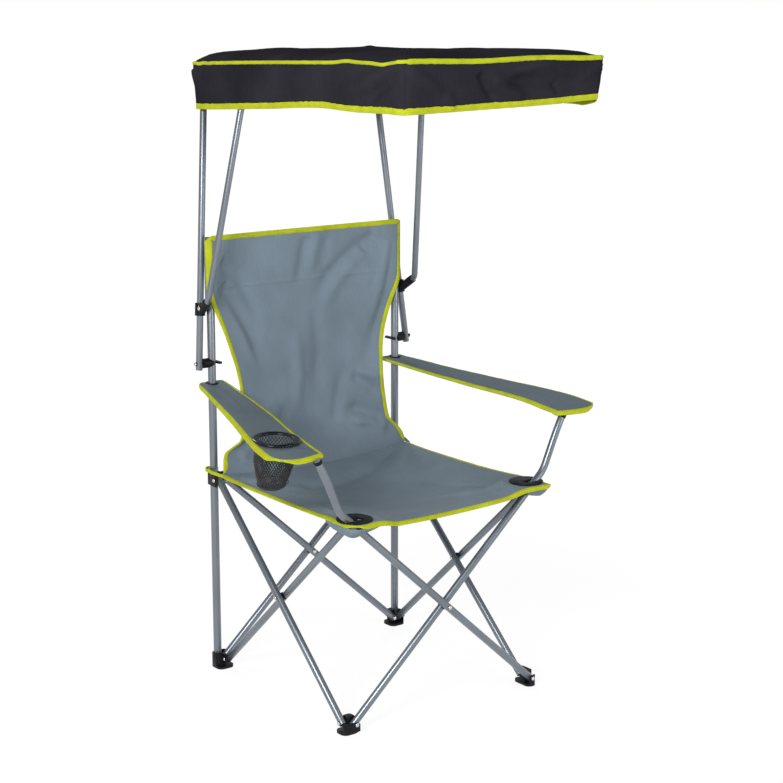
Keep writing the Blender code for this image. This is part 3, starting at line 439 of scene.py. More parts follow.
COLLAR_R, COLLAR_LENGTH, SOCKET_R, SOCKET_SIDES, BORE_GAP = 0.0115, 0.028, 0.0096, 12, 0.00015
SOCKET_START, SOCKET_END = (0, -0.003, -0.0055), (0.0070, -0.0420, 0.0220)


def round_stock(start, end, radius, sides=32):
    along = end - start
    return added(bpy.ops.mesh.primitive_cylinder_add, vertices=sides, radius=radius,
                 depth=along.length, location=(start + end) / 2,
                 rotation=along.to_track_quat("Z", "Y").to_euler())


for side, word in SIDES:
    centre = pole_point(side, BRACKET_Z)
    half = (pole_point(side, BRACKET_Z + 0.1) - centre).normalized() * COLLAR_LENGTH / 2
    made = round_stock(centre - half, centre + half, COLLAR_R)
    socket = round_stock(beside(centre, side, SOCKET_START), beside(centre, side, SOCKET_END),
                         SOCKET_R, SOCKET_SIDES)
    cut_or_added(made, socket, "UNION")
    for route, radius in (tubes[word + "_pole"], tubes[word + "_brace"]):
        bore = round_stock(route[0] - (route[1] - route[0]) * 0.02, route[1], radius + BORE_GAP)
        cut_or_added(made, bore, "DIFFERENCE")
    modified(made, "BEVEL", width=0.0016, segments=3, angle_limit=math.radians(40))
    fitted(settled(made, 40), word + "_bracket", BLACK_NYLON,
           name=word + "_bracket_moulding")

# ------------------------------------------------------------------------------------------------
# Rivets. Zinc-plated steel rivets with domed heads hold the tubes in their nylon corners and
# together at each crossing. Each head is half a sphere, flattened to a low dome.

HEAD_R, SHANK_R, HEAD_H, BRACKET_RIVET = 0.0045, 0.0025, 0.0021, (0.0142, -0.020, 0.0060)
ZINC = coat("zinc_plate", (0.62, 0.62, 0.61), 0.28, (300, 3, 0.12), (700, 2, 0.2, 0.4),
            Metallic=1.0)


def domed_head(seat, outward_way):
    """A low dome whose flat side faces seat."""
    head = added(bpy.ops.mesh.primitive_uv_sphere_add, segments=20, ring_count=10, radius=HEAD_R)
    edited(head, (bpy.ops.mesh.bisect, {"plane_co": (0, 0, 0), "plane_no": (0, 0, 1),
                                        "use_fill": True, "clear_inner": True}))
    scaled(head, (1, 1, HEAD_H / HEAD_R))
    head.rotation_euler = Vector(outward_way).to_track_quat("Z", "Y").to_euler()
    head.location = seat
    return settled(head, 50)


def rivet(node):
    """The rivet's heads, found from the wide parts of its solid."""
    axis = 1 if "cross" in node or node in ("rear_rivet", "front_rivet") else 0
    corners = np.array([vertex.co for vertex in frame["nodes"][node].data.vertices])
    middle = sum(np.array(corner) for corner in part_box(node)) / 2
    others = [index for index in range(3) if index != axis]
    spread = np.linalg.norm(corners[:, others] - middle[others], axis=1)
    wide = corners[spread > (HEAD_R + SHANK_R) / 2][:, axis]
    heads = []
    for sign in (-1, 1):
        flank = wide[(wide - middle[axis]) * sign > 0]
        if len(flank):
            seat, way = middle.copy(), [0, 0, 0]
            seat[axis] = flank.min() if sign > 0 else flank.max()
            way[axis] = sign
            heads.append(domed_head(seat, way))
    fitted(joined(heads, node + "_heads"), node, ZINC)


for node in frame["nodes"]:
    if node.endswith(("_pin", "_rivet")):
        rivet(node)
for side, word in SIDES:
    away = CROSS_Y[side]["front"] - TUBE_R - BOOT_GAP - BOOT_WALL / 2 + 0.0001
    low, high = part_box(word + "_wing_bolt")
    end = Vector((low.x if side < 0 else high.x, (low.y + high.y) / 2, POLE_Z))
    collar = pole_point(side, BRACKET_Z)
    for name, node, seat, way in (
        ("boot_rivet", "front_foot", (side * LEG_X, away, FOOT_Z), (0, -1, 0)),
        ("bolt_cap", "wing_bolt", beside(end, side, (-0.0004, 0, 0)), (side, 0, 0)),
        ("bracket_rivet", "bracket", beside(collar, side, BRACKET_RIVET), (side, 0, 0)),
    ):
        fitted(domed_head(seat, way), f"{word}_{node}", ZINC, replace=False,
               name=f"{word}_{name}")

# ------------------------------------------------------------------------------------------------
# Crossing washers. Small black nylon saddles keep the coated tubes apart where they cross: round,
# flat towards one tube and hollowed to the other, which they turn with.

SADDLE_R, CROSSING_GAP, SADDLE_FIT = 0.0085, 0.0012, 0.00012


def saddle(name, centre, toward, tube):
    """A saddle from the gap's middle back round the named tube."""
    toward, centre = Vector(toward), Vector((*centre, (FOOT_Z + HUB_Z) / 2))
    face, axis = centre + toward * CROSSING_GAP / 3, centre - toward * (TUBE_R + CROSSING_GAP / 2)
    made = settled(round_stock(face - toward * TUBE_R, face, SADDLE_R, 28))
    route, _ = tubes[tube]
    reach = (Vector(route[1]) - Vector(route[0])).normalized() * 2 * SADDLE_R
    hollow = round_stock(axis - reach, axis + reach, TUBE_R + SADDLE_FIT, 40)
    cut_or_added(made, hollow, "DIFFERENCE")
    fitted(settled(made), tube, BLACK_NYLON, replace=False, name=name)


for end in ("rear", "front"):
    middle = (CROSS_Y[-1][end] + CROSS_Y[1][end]) / 2
    saddle(end + "_saddle", (0, middle), (0, -1, 0), end + "_tube_from_right")
for side, word in SIDES:
    tube = "rising" if side < 0 else "falling"
    place = (side * sum(SIDE_X[side].values()) / 2, (REAR_Y + FRONT_Y) / 2)
    saddle(word + "_saddle", place, (side, 0, 0), f"{word}_side_tube_{tube}")

# ------------------------------------------------------------------------------------------------
# Seat. One piece of slate plain-weave polyester, slung between the corner hubs and the rear posts,
# its edges bound in lime tape and rolled down by the pull of the corners. It is lofted from
# measured profiles, then creased along listed lines.

CLOTH, SEAT_FRONT, SEAT_REAR, SEAT_HUB_Z = 0.0016, -0.2400, 0.2885, 0.4628
SEAT_SIZE, SEAT_CORNERS, SEAT_TAPE = (0.540, 0.530), (0.040, 0.018), 0.0084
DISC_CENTRES = ((-0.238, -0.195), (0.238, -0.1778))
HOLE_CENTRES, HOLE_R = ((-0.2470, -0.195), (0.2470, -0.1778)), 0.0165
WAVE_PER_THREAD, THREAD, RIB, EDGE_STEP, MM = 0.314, 0.0007, 0.0009, 0.0035, 0.001


def calc(tree, operation, *values):
    """What a math node makes of values or sockets."""
    return add(tree, "Math", dict(enumerate(values)), operation=operation).outputs[0]


def banded(tree, flat, spacing, distortion, direction):
    return add(tree, "TexWave", {"Vector": flat, "Scale": WAVE_PER_THREAD / spacing,
                                 "Distortion": distortion},
               wave_type="BANDS", bands_direction=direction).outputs["Fac"]


def woven(name, colour, spread=0.14, sheen=0.05, gloss=0.2):
    """Plain-weave cloth: crossed threads and slubs on its UV map, in metres, in clouded colour."""
    made, tree, shader = shader_of(
        name, colour, 0.82, Sheen_Weight=sheen, Sheen_Roughness=0.5, Specular_IOR_Level=gloss)
    flat = add(tree, "UVMap").outputs[0]
    weave = calc(tree, "MULTIPLY", *(banded(tree, flat, THREAD, 0.6, way) for way in ("X", "Y")))
    slubs = []
    for stretch in ((520, 26, 1), (60, 1900, 1)):
        drawn = add(tree, "Mapping", {"Vector": flat, "Scale": stretch}).outputs[0]
        slubs.append(noise_of(tree, drawn, 1.0, 1.5))
    slub = calc(tree, "ADD", *slubs)
    cloud = noise_of(tree, add(tree, "TexCoord").outputs["Object"], 7, 4)
    level = calc(tree, "SUBTRACT", calc(tree, "MULTIPLY_ADD", slub, 0.35, cloud), 0.35)
    tone(tree, shader, level, colour, spread)
    bumped(tree, shader, calc(tree, "MULTIPLY_ADD", slub, 0.6, weave), 0.22, 0.0005)
    rough(tree, shader, cloud, 0.76, 0.9)
    return made


def ribbed_tape(name, colour):
    """Grosgrain binding: fine cross ribs, and a row of stitches near each of its edges, dented in
    the bump and drawn darker in the colour as painted shade.
    """
    made, tree, shader = shader_of(name, colour, 0.75, Specular_IOR_Level=0.15)
    flat = add(tree, "UVMap").outputs[0]
    parts = add(tree, "SeparateXYZ", {"Vector": flat}).outputs
    dash = calc(tree, "LESS_THAN", calc(tree, "WRAP", parts[0], 0.0036, 0), 0.0024)
    stitch_and_shade = calc(tree, "MULTIPLY", dash, calc(tree, "COMPARE", parts[1], 0.0085, 0.0005))
    cloud = noise_of(tree, add(tree, "TexCoord").outputs["Object"], 40, 4)
    # The stitch dashes darken the tape's colour: painted shade along the stitch line, over the real
    # stitch dents.
    tone(tree, shader, calc(tree, "MULTIPLY_ADD", stitch_and_shade, -0.5, cloud), colour, 0.16, 0.2, 0.75)
    ribs = banded(tree, flat, RIB, 0.3, "X")
    bumped(tree, shader, calc(tree, "MULTIPLY_ADD", stitch_and_shade, 1.5, ribs), 0.25, 0.0004)
    return made


SLATE_CLOTH = woven("slate_polyester", (0.163, 0.214, 0.259))
LIME_TAPE = ribbed_tape("lime_binding", (0.42, 0.465, 0.012))


def limited(share):
    return np.clip(share, 0, 1)


def smoothed(share):
    share = limited(share)
    return share * share * (3 - 2 * share)


def hump(x, middle, width):
    return np.exp(-(((x - middle) / width) ** 2))


def unit(ways):
    return ways / np.linalg.norm(ways, axis=-1, keepdims=True)


def curve_at(knots, values, t):
    """A smooth curve through (knot, value) pairs that never overshoots them."""
    k, v = np.asarray(knots, float), np.asarray(values, float)
    gap = np.diff(k)
    slope = np.diff(v) / gap
    ends = np.concatenate((slope[:1], np.zeros(len(v) - 2), slope[-1:]))
    same = slope[:-1] * slope[1:] > 0
    both = slope[:-1] + slope[1:]
    ends[1:-1][same] = (2 * slope[:-1] * slope[1:])[same] / both[same]
    t = np.asarray(t, float)
    i = np.clip(np.searchsorted(k, t) - 1, 0, len(gap) - 1)
    x = (t - k[i]) / gap[i]
    return (v[i] * (1 + 2 * x) * (1 - x) ** 2 + v[i + 1] * x**2 * (3 - 2 * x)
            + gap[i] * (ends[i] * x * (1 - x) ** 2 + ends[i + 1] * x**2 * (x - 1)))


def lofted(x, y, z):
    return np.stack(np.broadcast_arrays(x, y, z), axis=-1)


def facing(surface, u, v):
    """The surface's unit normals at (u, v)."""
    step = 1e-3
    across = surface(u + step, v) - surface(u - step, v)
    return unit(np.cross(across, surface(u, v + step) - surface(u, v - step)))


def creases(x, y, rows):
    """The height of creases, listed in rows, at (x, y). A row is a crease's height and width in mm,
    the shares of its run in % over which its ends fade, and its path's points in mm."""
    total = np.zeros(np.broadcast(x, y).shape)
    for height, width, fade_in, fade_out, *path in rows:
        path = np.reshape(path, (-1, 2)) * MM
        lengths = np.linalg.norm(np.diff(path, axis=0), axis=1)
        best, share = np.full(total.shape, np.inf), np.zeros(total.shape)
        for index, (start, end) in enumerate(zip(path, path[1:])):
            run = end - start
            t = limited(((x - start[0]) * run[0] + (y - start[1]) * run[1]) / (run @ run))
            far = np.hypot(x - start[0] - t * run[0], y - start[1] - t * run[1])
            place = (lengths[:index].sum() + t * lengths[index]) / lengths.sum()
            share = np.where(far < best, place, share)
            best = np.minimum(best, far)
        ends = limited(share * 100 / fade_in) * limited((1 - share) * 100 / fade_out)
        total += height * MM * smoothed(ends) * hump(best, 0, width * MM)
    return total


def ripple(points, size, seed):
    """Smooth random heights, about -1 to 1, that vary over lengths of about size."""
    shift = Vector((seed * 3.7, seed * 1.3, seed * 7.9))
    flat = points.reshape(-1, 3) / size
    heights = [noise.noise(Vector(point) + shift) for point in flat.tolist()]
    return np.array(heights).reshape(points.shape[:-1])


def draped(base, folds):
    """A surface raised along its normals by its folds."""
    def surface(u, v):
        return base(u, v) + facing(base, u, v) * folds(u, v)[..., None]
    return surface


def rounded(surface, size, corners, low=0.0):
    """A surface with some corners rounded. A corner is (u, v, radius), and low is u's least."""
    size_u, size_v = size[0] / (1 - low), size[1]

    def shaped(u, v):
        u, v = (np.array(share, float) for share in np.broadcast_arrays(u, v))
        for corner_u, corner_v, radius in corners:
            along_u, along_v = (1 if corner_u < 0.5 else -1), (1 if corner_v < 0.5 else -1)
            a = radius - (u - corner_u) * along_u * size_u
            b = radius - (v - corner_v) * along_v * size_v
            near = (a > 0) & (b > 0)
            round_a = a * np.sqrt(limited(1 - (b / radius) ** 2 / 2))
            round_b = b * np.sqrt(limited(1 - (a / radius) ** 2 / 2))
            u = np.where(near, corner_u + along_u * (radius - round_a) / size_u, u)
            v = np.where(near, corner_v + along_v * (radius - round_b) / size_v, v)
        return surface(u, v)
    return shaped


def edge_run(stops, size, radii, low=0.0):
    """Points along the edges between stops, and each one's direction into the cloth."""
    middle, scale = np.array(((1 + low) / 2, 0.5)), np.array((size[0] / (1 - low), size[1]))
    places, ways = [], []
    for start, end, bend_in, bend_out in zip(stops, stops[1:], radii, radii[1:]):
        start, end = np.array(start, float), np.array(end, float)
        length = np.linalg.norm((end - start) * scale)
        inward = np.sign(middle - start) * ((0, 1) if start[1] == end[1] else (1, 0))
        for t in np.linspace(0, 1, max(8, int(length / EDGE_STEP)))[1 if places else 0:]:
            way = inward.copy()
            for near, far, bend in ((t * length, start, bend_in),
                                    ((1 - t) * length, end, bend_out)):
                if near < bend:
                    way += np.sign(middle - far) * (1 - np.abs(inward)) * (1 - near / bend)
            places.append(start + (end - start) * t)
            ways.append(unit(way) / scale)
    return np.array(places), np.array(ways)


def mesh_piece(name, points, faces, flats=None):
    """A piece from points, faces and, for each point, its place on the flat cloth."""
    mesh = bpy.data.meshes.new(name)
    mesh.from_pydata([tuple(point) for point in points], [], faces)
    if flats is not None:
        layer = mesh.uv_layers.new(name="UVMap")
        corners = np.empty(len(mesh.loops), np.int32)
        mesh.loops.foreach_get("vertex_index", corners)
        layer.data.foreach_set("uv", np.asarray(flats, np.float32)[corners].ravel())
    mesh.update()
    made = bpy.data.objects.new(name, mesh)
    bpy.context.scene.collection.objects.link(made)
    return made


def grid_faces(rows, count, round_rows=False, round_count=False):
    """Four-sided faces between rows of count points, closed round either way if asked."""
    i, j = (part.ravel() for part in np.meshgrid(
        np.arange(rows - 1 + round_rows), np.arange(count - 1 + round_count), indexing="ij"))
    after, over = (i + 1) % rows * count, (j + 1) % count
    return np.stack((i * count + j, i * count + over, after + over, after + j), axis=1)


def cloth_piece(name, surface, rows, size, thickness=CLOTH, holes=(), low=0, flip=False):
    """A sheet over a grid of shares, with its holes' rims drawn true, given its thickness."""
    u, v = np.meshgrid(np.linspace(low, 1, rows[0]), np.linspace(0, 1, rows[1]), indexing="ij")
    points = surface(u, v).reshape(-1, 3)
    flats = np.stack((u.ravel() * size[0], v.ravel() * size[1]), axis=1)
    keep = np.ones(len(points), bool)
    for centre, radius in holes:
        spread = points[:, :2] - centre
        far = np.linalg.norm(spread, axis=1)
        rim = 0.6 * size[1] / rows[1]
        keep &= far > radius - rim
        snap = keep & (far < radius + rim)
        points[snap, :2] = centre + spread[snap] * (radius / far[snap])[:, None]
    faces = grid_faces(*rows)[:, (1, 2, 3, 0) if flip else (0, 3, 2, 1)]
    faces = (np.cumsum(keep) - 1)[faces[keep[faces].all(axis=1)]]
    made = mesh_piece(name, points[keep], faces.tolist(), flats[keep])
    modified(made, "SOLIDIFY", thickness=thickness, offset=0, use_even_offset=not holes)
    return settled(made, 60)


# Tape folded over an edge: how far in from the edge, in widths, and how far out, in half heights
TAPE_PROFILE = np.array((
    (1.00, 0.35), (1.01, 0.80), (0.96, 1.00), (0.55, 1.08), (0.12, 1.0), (-0.04, 0.62),
    (-0.08, 0.0), (-0.04, -0.62), (0.12, -1.0), (0.55, -1.08), (0.96, -1.0), (1.01, -0.80),
    (1.00, -0.35),
))
TAPE_HALF, ROLL_MOST = 0.0019, -0.0085


def outward(piece):
    """Turns all of a piece's faces outwards."""
    return edited(piece, (bpy.ops.mesh.normals_make_consistent, {"inside": False}))


def run_of(line):
    """How far along a line each of its points is."""
    return np.concatenate(([0], np.cumsum(np.linalg.norm(np.diff(line, axis=0), axis=1))))


def band(name, line, rings, profile, closed):
    """A tape along a line: rings holds, for each point of its profile, that point's own line."""
    rows, count = len(line), len(rings)
    flats = np.stack(np.meshgrid(run_of(line), run_of(profile), indexing="ij"), axis=-1)
    faces = grid_faces(rows, count, closed, True).tolist()
    if not closed:
        faces += [list(range(count))[::-1], [(rows - 1) * count + j for j in range(count)]]
    points = np.stack(rings, axis=1).reshape(-1, 3)
    return settled(outward(mesh_piece(name, points, faces, flats.reshape(-1, 2))), 50)


def binding(name, surface, edge, width, half=TAPE_HALF, seed=1.0, closed=False):
    """Tape folded over an edge of a surface, which edge_run gives."""
    (u, v), (du, dv) = (part[:-1].T if closed else part.T for part in edge)
    line = surface(u, v)
    uneven = ripple(line, 0.012, seed)
    rings = []
    for b, t in TAPE_PROFILE:
        reach, inside = b * width * (1 + 0.05 * uneven * (b > 0.5)), max(b, 0.1) * width
        lift = t * half * (1 + 0.14 * ripple(line + b * 0.01, 0.006, seed + 2))
        normal = facing(surface, u + du * inside, v + dv * inside)
        rings.append(surface(u + du * reach, v + dv * reach) + normal * lift[:, None])
    return band(name, line, rings, TAPE_PROFILE * (width, half), closed)


def edge_roll(distance, width, depth):
    """How far an edge is rolled down at a distance into the cloth."""
    return -depth * np.clip(1 - distance / width, 0, 1.2) ** 2


def seat_base(u, v):
    """u from the right edge to the left, -1 to 1, and v from the front edge to the rear."""
    half = curve_at((0, 0.1, 0.5, 1), (0.2735, 0.2730, 0.2650, 0.2620), v)
    bow = 1 - np.abs(u) ** 2.2
    y_side = SEAT_FRONT + (SEAT_REAR - SEAT_FRONT) * v + 0.010 * u * (1 - v) ** 2
    y_drawn = 0.020 * (1 - v) ** 3 - 0.020 * v**4
    z_side = curve_at((0, 0.12, 0.5, 0.8, 1), (0.4650, 0.4640, 0.4590, 0.4595, 0.4625), v)
    z_deep = curve_at((0, 0.2, 0.5, 0.75, 0.9, 1), (0.018, 0.030, 0.040, 0.034, 0.020, 0.012), v)
    x, y, z = half * u, y_side + y_drawn * bow, z_side - z_deep * bow
    for centre in DISC_CENTRES:
        held = smoothed((0.095 - np.hypot(x - centre[0], y - centre[1])) / 0.055)
        z = z + (SEAT_HUB_Z - z) * held
    drop = edge_roll((1 - np.abs(u)) * half, 0.011, 0.0045)
    drop = drop + edge_roll(v * SEAT_SIZE[1], 0.012, 0.0065)
    return lofted(x, y, z + np.maximum(drop, ROLL_MOST))


SEAT_CREASES = (
    (5.1, 16.9, 5, 60, -205, -165, -100, -105, 20, -60),
    (-3.8, 13, 5, 60, -210, -145, -140, -60, -90, 20),
    (3.8, 11.7, 5, 50, -225, -140, -190, -20, -170, 80),
    (4.7, 16.9, 5, 60, 205, -150, 110, -80, 30, -20),
    (-3.4, 11.7, 5, 50, 210, -130, 160, -20, 130, 60),
    (3.4, 15.6, 30, 30, -170, -200, -20, -190, 140, -200),
    (5.1, 18.2, 5, 60, -235, 250, -150, 170, -70, 120),
    (-4.3, 14.3, 5, 60, -240, 220, -180, 120, -140, 30),
    (5.8, 19.5, 5, 60, 235, 250, 160, 180, 60, 140),
    (-5.1, 15.6, 5, 60, 240, 200, 170, 110, 120, 40),
    (-6.8, 20.8, 10, 10, 220, 275, 90, 200, -30, 165, -120, 180),
)


def seat_folds(u, v):
    place = seat_base(u, v)
    calm = limited(v * 12) * limited((1 - np.abs(u)) * 12) * limited((1 - v) * 12)
    small = 0.0011 * ripple(place, 0.10, 5) + 0.0004 * ripple(place, 0.028, 9)
    return calm * (small + creases(place[..., 0], place[..., 1], SEAT_CREASES))


seat_surface = rounded(draped(seat_base, seat_folds), SEAT_SIZE,
                       ((-1, 0, SEAT_CORNERS[0]), (1, 0, SEAT_CORNERS[1])), low=-1)
seat = cloth_piece("seat_cloth", seat_surface, (150, 150), (0.27, 0.53), low=-1,
                   holes=[(np.array(centre), HOLE_R) for centre in HOLE_CENTRES])
seat_rim = edge_run(((-1, 1), (-1, 0), (1, 0), (1, 1)), SEAT_SIZE, (0.020, *SEAT_CORNERS, 0.020),
                    low=-1)
seat_tape = binding("seat_tape", seat_surface, seat_rim, SEAT_TAPE, seed=3)

# ------------------------------------------------------------------------------------------------
# Back. A slate panel sewn to the rear of the seat, drawn in at the waist and wide at the head,
# where its sides are turned round the posts as sleeves. Bound in the same lime tape.

BACK_FOOT, BACK_TOP, BACK_SIZE = 0.4640, 0.992, (0.530, 0.545)
BACK_CORNER, BACK_TAPE, TAB_CLOTH = 0.013, 0.0105, 0.0020
SLEEVE_LOW, SLEEVE_TOP, SLEEVE_R, SLEEVE_CLOTH = 0.846, 0.988, 0.0113, 0.0012
# Heights, and how far the panel's left and right edges are from the middle there
LEFT_EDGE = (
    (0.464, 0.474, 0.490, 0.506, 0.528, 0.560, 0.633, 0.686, 0.733, 0.776, 0.8125, 0.844, 0.87,
     0.992),
    (0.2600, 0.2570, 0.2500, 0.2370, 0.2150, 0.2085, 0.2015, 0.2020, 0.2085, 0.2230, 0.241, 0.257,
     0.2640, 0.2648))
RIGHT_EDGE = (
    (0.464, 0.490, 0.506, 0.516, 0.528, 0.560, 0.633, 0.686, 0.733, 0.776, 0.8125, 0.844, 0.87,
     0.992),
    (0.2500, 0.2480, 0.2430, 0.2240, 0.2010, 0.1915, 0.1930, 0.2010, 0.2150, 0.2290, 0.2440, 0.257,
     0.2640, 0.2648))
# The route of the loops at the seat's rear corners, from the seat round the post: x and y
TAB_ROUTE = (
    (0.2600, 0.2655, 0.2700, 0.2705, 0.2668, 0.2575, 0.2480, 0.2430, 0.2425),
    (0.270, 0.288, 0.305, 0.322, 0.3345, 0.3395, 0.3370, 0.330, 0.322))


def back_base(u, v):
    """v from the seat's rear edge, where the panel's foot follows the seat, up to the head."""
    z_side = BACK_FOOT + (BACK_TOP - BACK_FOOT) * v
    x = np.where(u < 0, curve_at(*RIGHT_EDGE, z_side), curve_at(*LEFT_EDGE, z_side)) * u
    foot = (1 - np.abs(x / 0.262) ** 2.2) * (1 - smoothed(v / 0.10))
    y_side = curve_at((0.464, 0.49, 0.55, 0.75, 0.85, 0.992),
                      (0.2885, 0.2895, 0.293, 0.304, 0.310, 0.310), z_side)
    y_deep = curve_at((0, 0.05, 0.12, 0.25, 0.4, 0.6, 0.8, 1),
                      (0, 0.012, 0.022, 0.029, 0.031, 0.029, 0.017, 0.002), v)
    y = y_side - 0.020 * foot + smoothed(v / 0.10) * y_deep * (1 - u * u)
    past = np.clip(np.abs(x) - POST_X, 0, SLEEVE_R)
    y = y + (SLEEVE_R - np.sqrt(SLEEVE_R**2 - past**2)) * limited((z_side - 0.83) / 0.03)
    return lofted(x, y, z_side - (1 - smoothed(v / 0.10)) * 0.0015 - 0.012 * foot)


BACK_CREASES = (
    (5.6, 14.3, 10, 40, -1, 975, -10, 900, -20, 850),
    (-4, 11.4, 10, 40, 30, 985, 20, 920, 15, 870),
    (4.5, 12.8, 10, 40, 60, 988, 46, 884),
    (10.2, 22.8, 3, 35, 262, 945, 235, 852, 184, 722, 134, 600),
    (-8.4, 17.1, 3, 40, 236, 948, 212, 839, 157, 714),
    (8.4, 20, 3, 40, 190, 965, 120, 915, 68, 875, 23, 790),
    (-6.5, 17.1, 5, 40, 160, 930, 90, 860, 50, 790),
    (7.4, 14.3, 25, 30, 120, 640, 160, 610, 200, 578),
    (-6.5, 11.4, 25, 20, 135, 648, 185, 628, 221, 600),
    (8.4, 18.6, 3, 45, -235, 930, -184, 900, -146, 840, -115, 770),
    (9.3, 20, 3, 45, -235, 880, -190, 820, -145, 750, -105, 660),
    (-6.5, 15.6, 5, 45, -225, 860, -175, 770, -135, 680),
    (6.5, 18.6, 30, 30, 32, 830, 43, 700, 26, 580),
    (-5.6, 15.6, 30, 30, -20, 770, -15, 660, -30, 560),
    (5.6, 15.6, 30, 20, 107, 665, 84, 581, 70, 520),
    (6.5, 15.6, 30, 20, -60, 600, -75, 530, -100, 480),
    (-5.6, 14.3, 30, 20, -120, 600, -130, 530, -150, 485),
    (7.4, 14.3, 20, 30, -205, 505, -150, 545, -90, 570),
    (-7.4, 12.8, 20, 30, -210, 490, -160, 515, -100, 530),
    (8.4, 17.1, 20, 30, 205, 520, 150, 550, 100, 565),
    (-9.3, 17.1, 20, 30, 215, 500, 160, 520, 100, 530),
    (-1.8, 2.6, 1, 1, -250, 873.5, 250, 873.5),
)


def back_folds(u, v):
    place = back_base(u, v)
    calm = limited((1 - v) * 14) * limited((1 - np.abs(u)) * 9) * limited(v * 20)
    wrap = limited((place[..., 2] - 0.80) / 0.04)
    calm = calm * (1 - wrap * (1 - limited((0.2420 - np.abs(place[..., 0])) / 0.022)))
    small = 0.0014 * ripple(place, 0.09, 2) + 0.0004 * ripple(place, 0.025, 7)
    return calm * (small - creases(place[..., 0], place[..., 2], BACK_CREASES))


back_surface = rounded(draped(back_base, back_folds), BACK_SIZE,
                       ((-1, 1, BACK_CORNER), (1, 1, BACK_CORNER)), low=-1)
back = cloth_piece("back_cloth", back_surface, (140, 190), (0.265, 0.545), low=-1)
back_rim = edge_run(((-1, 0), (-1, 1), (1, 1), (1, 0)), BACK_SIZE, (BACK_CORNER,) * 4, low=-1)
back_tape = binding("back_tape", back_surface, back_rim, BACK_TAPE, seed=8)


def sleeve_surface(side):
    def surface(u, v):
        """u round the post, from its outside by the rear to its inner side, and v upwards."""
        turn = math.radians(-8) + math.radians(225) * u
        pull = 1 + 0.05 * np.sin(9 * v + side) * u
        x = side * (POST_X + SLEEVE_R * pull * np.cos(turn))
        z = SLEEVE_LOW + (SLEEVE_TOP - SLEEVE_LOW) * v
        return lofted(x, POST_Y + SLEEVE_R * np.sin(turn), z)
    return surface


def tab_surface(side):
    def surface(u, v):
        """The loop that holds the seat's rear corner, round the post above its slider."""
        x, y = (curve_at(np.linspace(0, 1, len(line)), line, u) for line in TAB_ROUTE)
        return lofted(side * x, y, 0.4565 + 0.0045 * limited(u * 3) + 0.0010 * u + 0.0075 * v)
    return surface


# The slate pockets under the seat's front corners, which hold the hubs: the places of the upper and
# the lower edge, from the side round the corner to the front
POCKET_SHARES = (0, 0.36, 0.5, 0.64, 1)
POCKET_TOP = (0.2690, 0.2700, 0.2645, 0.2500, 0.1980), (-0.1250, -0.2130, -0.2280, -0.2330, -0.2290)
POCKET_LOW = (0.2660, 0.2640, 0.2600, 0.2520, 0.2240), (-0.1500, -0.2020, -0.2100, -0.2130, -0.2130)
POCKET_AHEAD, POCKET_CLOTH = 0.0085, 0.0012


def pocket_surface(side):
    def surface(u, v):
        """u from the side edge round the corner to the front edge, v from the seat down."""
        top_x, top_y = (curve_at(POCKET_SHARES, line, u) for line in POCKET_TOP)
        low_x, low_y = (curve_at(POCKET_SHARES, line, u) for line in POCKET_LOW)
        bulge = 0.0025 * np.sin(np.pi * v)
        x, y = top_x + (low_x - top_x) * v + bulge, top_y + (low_y - top_y) * v - bulge
        z = 0.4570 - 0.0215 * v * (0.70 + 0.30 * np.sin(np.pi * u))
        return lofted(side * x, side * POCKET_AHEAD + y, z)
    return surface


sleeves, tabs, pockets = (
    [cloth_piece(word + name, surface(side), rows, size, thickness) for side, word in SIDES]
    for name, surface, rows, size, thickness in (
        ("_sleeve", sleeve_surface, (34, 40), (0.06, 0.144), SLEEVE_CLOTH),
        ("_seat_tab", tab_surface, (50, 6), (0.13, 0.009), TAB_CLOTH),
        ("_corner_pocket", pocket_surface, (60, 16), (0.17, 0.03), POCKET_CLOTH),
    )
)


def places_of(piece):
    return np.array([vertex.co for vertex in piece.data.vertices])


def hooked(piece, body, weights):
    """Lets part of a cloth follow another body as the frame folds, by a weight for each point."""
    group = piece.vertex_groups.new(name="with_" + body)
    for index, weight in enumerate(weights):
        if weight > 0.001:
            group.add([index], float(min(weight, 1)), "REPLACE")
    hook = piece.modifiers.new("with_" + body, "HOOK")
    hook.object = frame["bodies"][body]
    hook.vertex_group = group.name
    hook.matrix_inverse = frame["bodies"][body].matrix_world.inverted()


# The seat's and back's cloth crumples between the posts and rises with the sliders
for node, cloth, others in (("seat", seat, [seat_tape] + tabs),
                            ("back", back, [back_tape] + sleeves)):
    for piece in [cloth] + others:
        finish = LIME_TAPE if piece in (seat_tape, tabs[0], back_tape) else SLATE_CLOTH
        fitted(piece, node, finish, replace=piece is cloth)
        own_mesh(piece)
        _, y, z = places_of(piece).T
        hooked(piece, "right_slider", limited((SLEEVE_LOW - z) / (SLEEVE_LOW - BACK_FOOT)))
        if cloth is seat:
            hooked(piece, "right_front_foot", limited((0.285 - y) / (0.285 - FRONT_Y)))
for pocket, (side, word) in zip(pockets, SIDES):
    fitted(pocket, word + "_front_hub", SLATE_CLOTH, replace=False)

# ------------------------------------------------------------------------------------------------
# Armrests. A strip of doubled slate cloth from each post to the tip of its arm post, bound in lime
# tape that rolls down over the outer and front edges. A nylon grommet lines the post's hole.

ARM_CLOTH, ARM_REAR_Z, ARM_SLOPE, SLOPE_Y = 0.0030, 0.6620, 0.0892, 0.341
CUP_X, CUP_Y, RING_R = 0.359, -0.093, 0.0450
ARM_LENGTH, ARM_TAPE, ARM_TAPE_HALF = 0.54, 0.0082, 0.0024
ARM_SIZE = (0.105, ARM_LENGTH)
ARM_CORNERS = ((0, 0, 0.024), (1, 0, 0.026), (1, 1, 0.048), (0, 1, 0.006))
GROMMET_OUT, GROMMET_WIRE, GROMMET_LIFT = 0.0032, 0.0023, 0.0022
CAP_ENDS, CAP_WALL = (0.009, 0.0012), 0.0012
ARM_FABRIC = woven("armrest_polyester", (0.108, 0.140, 0.167), spread=0.08, sheen=0.02)


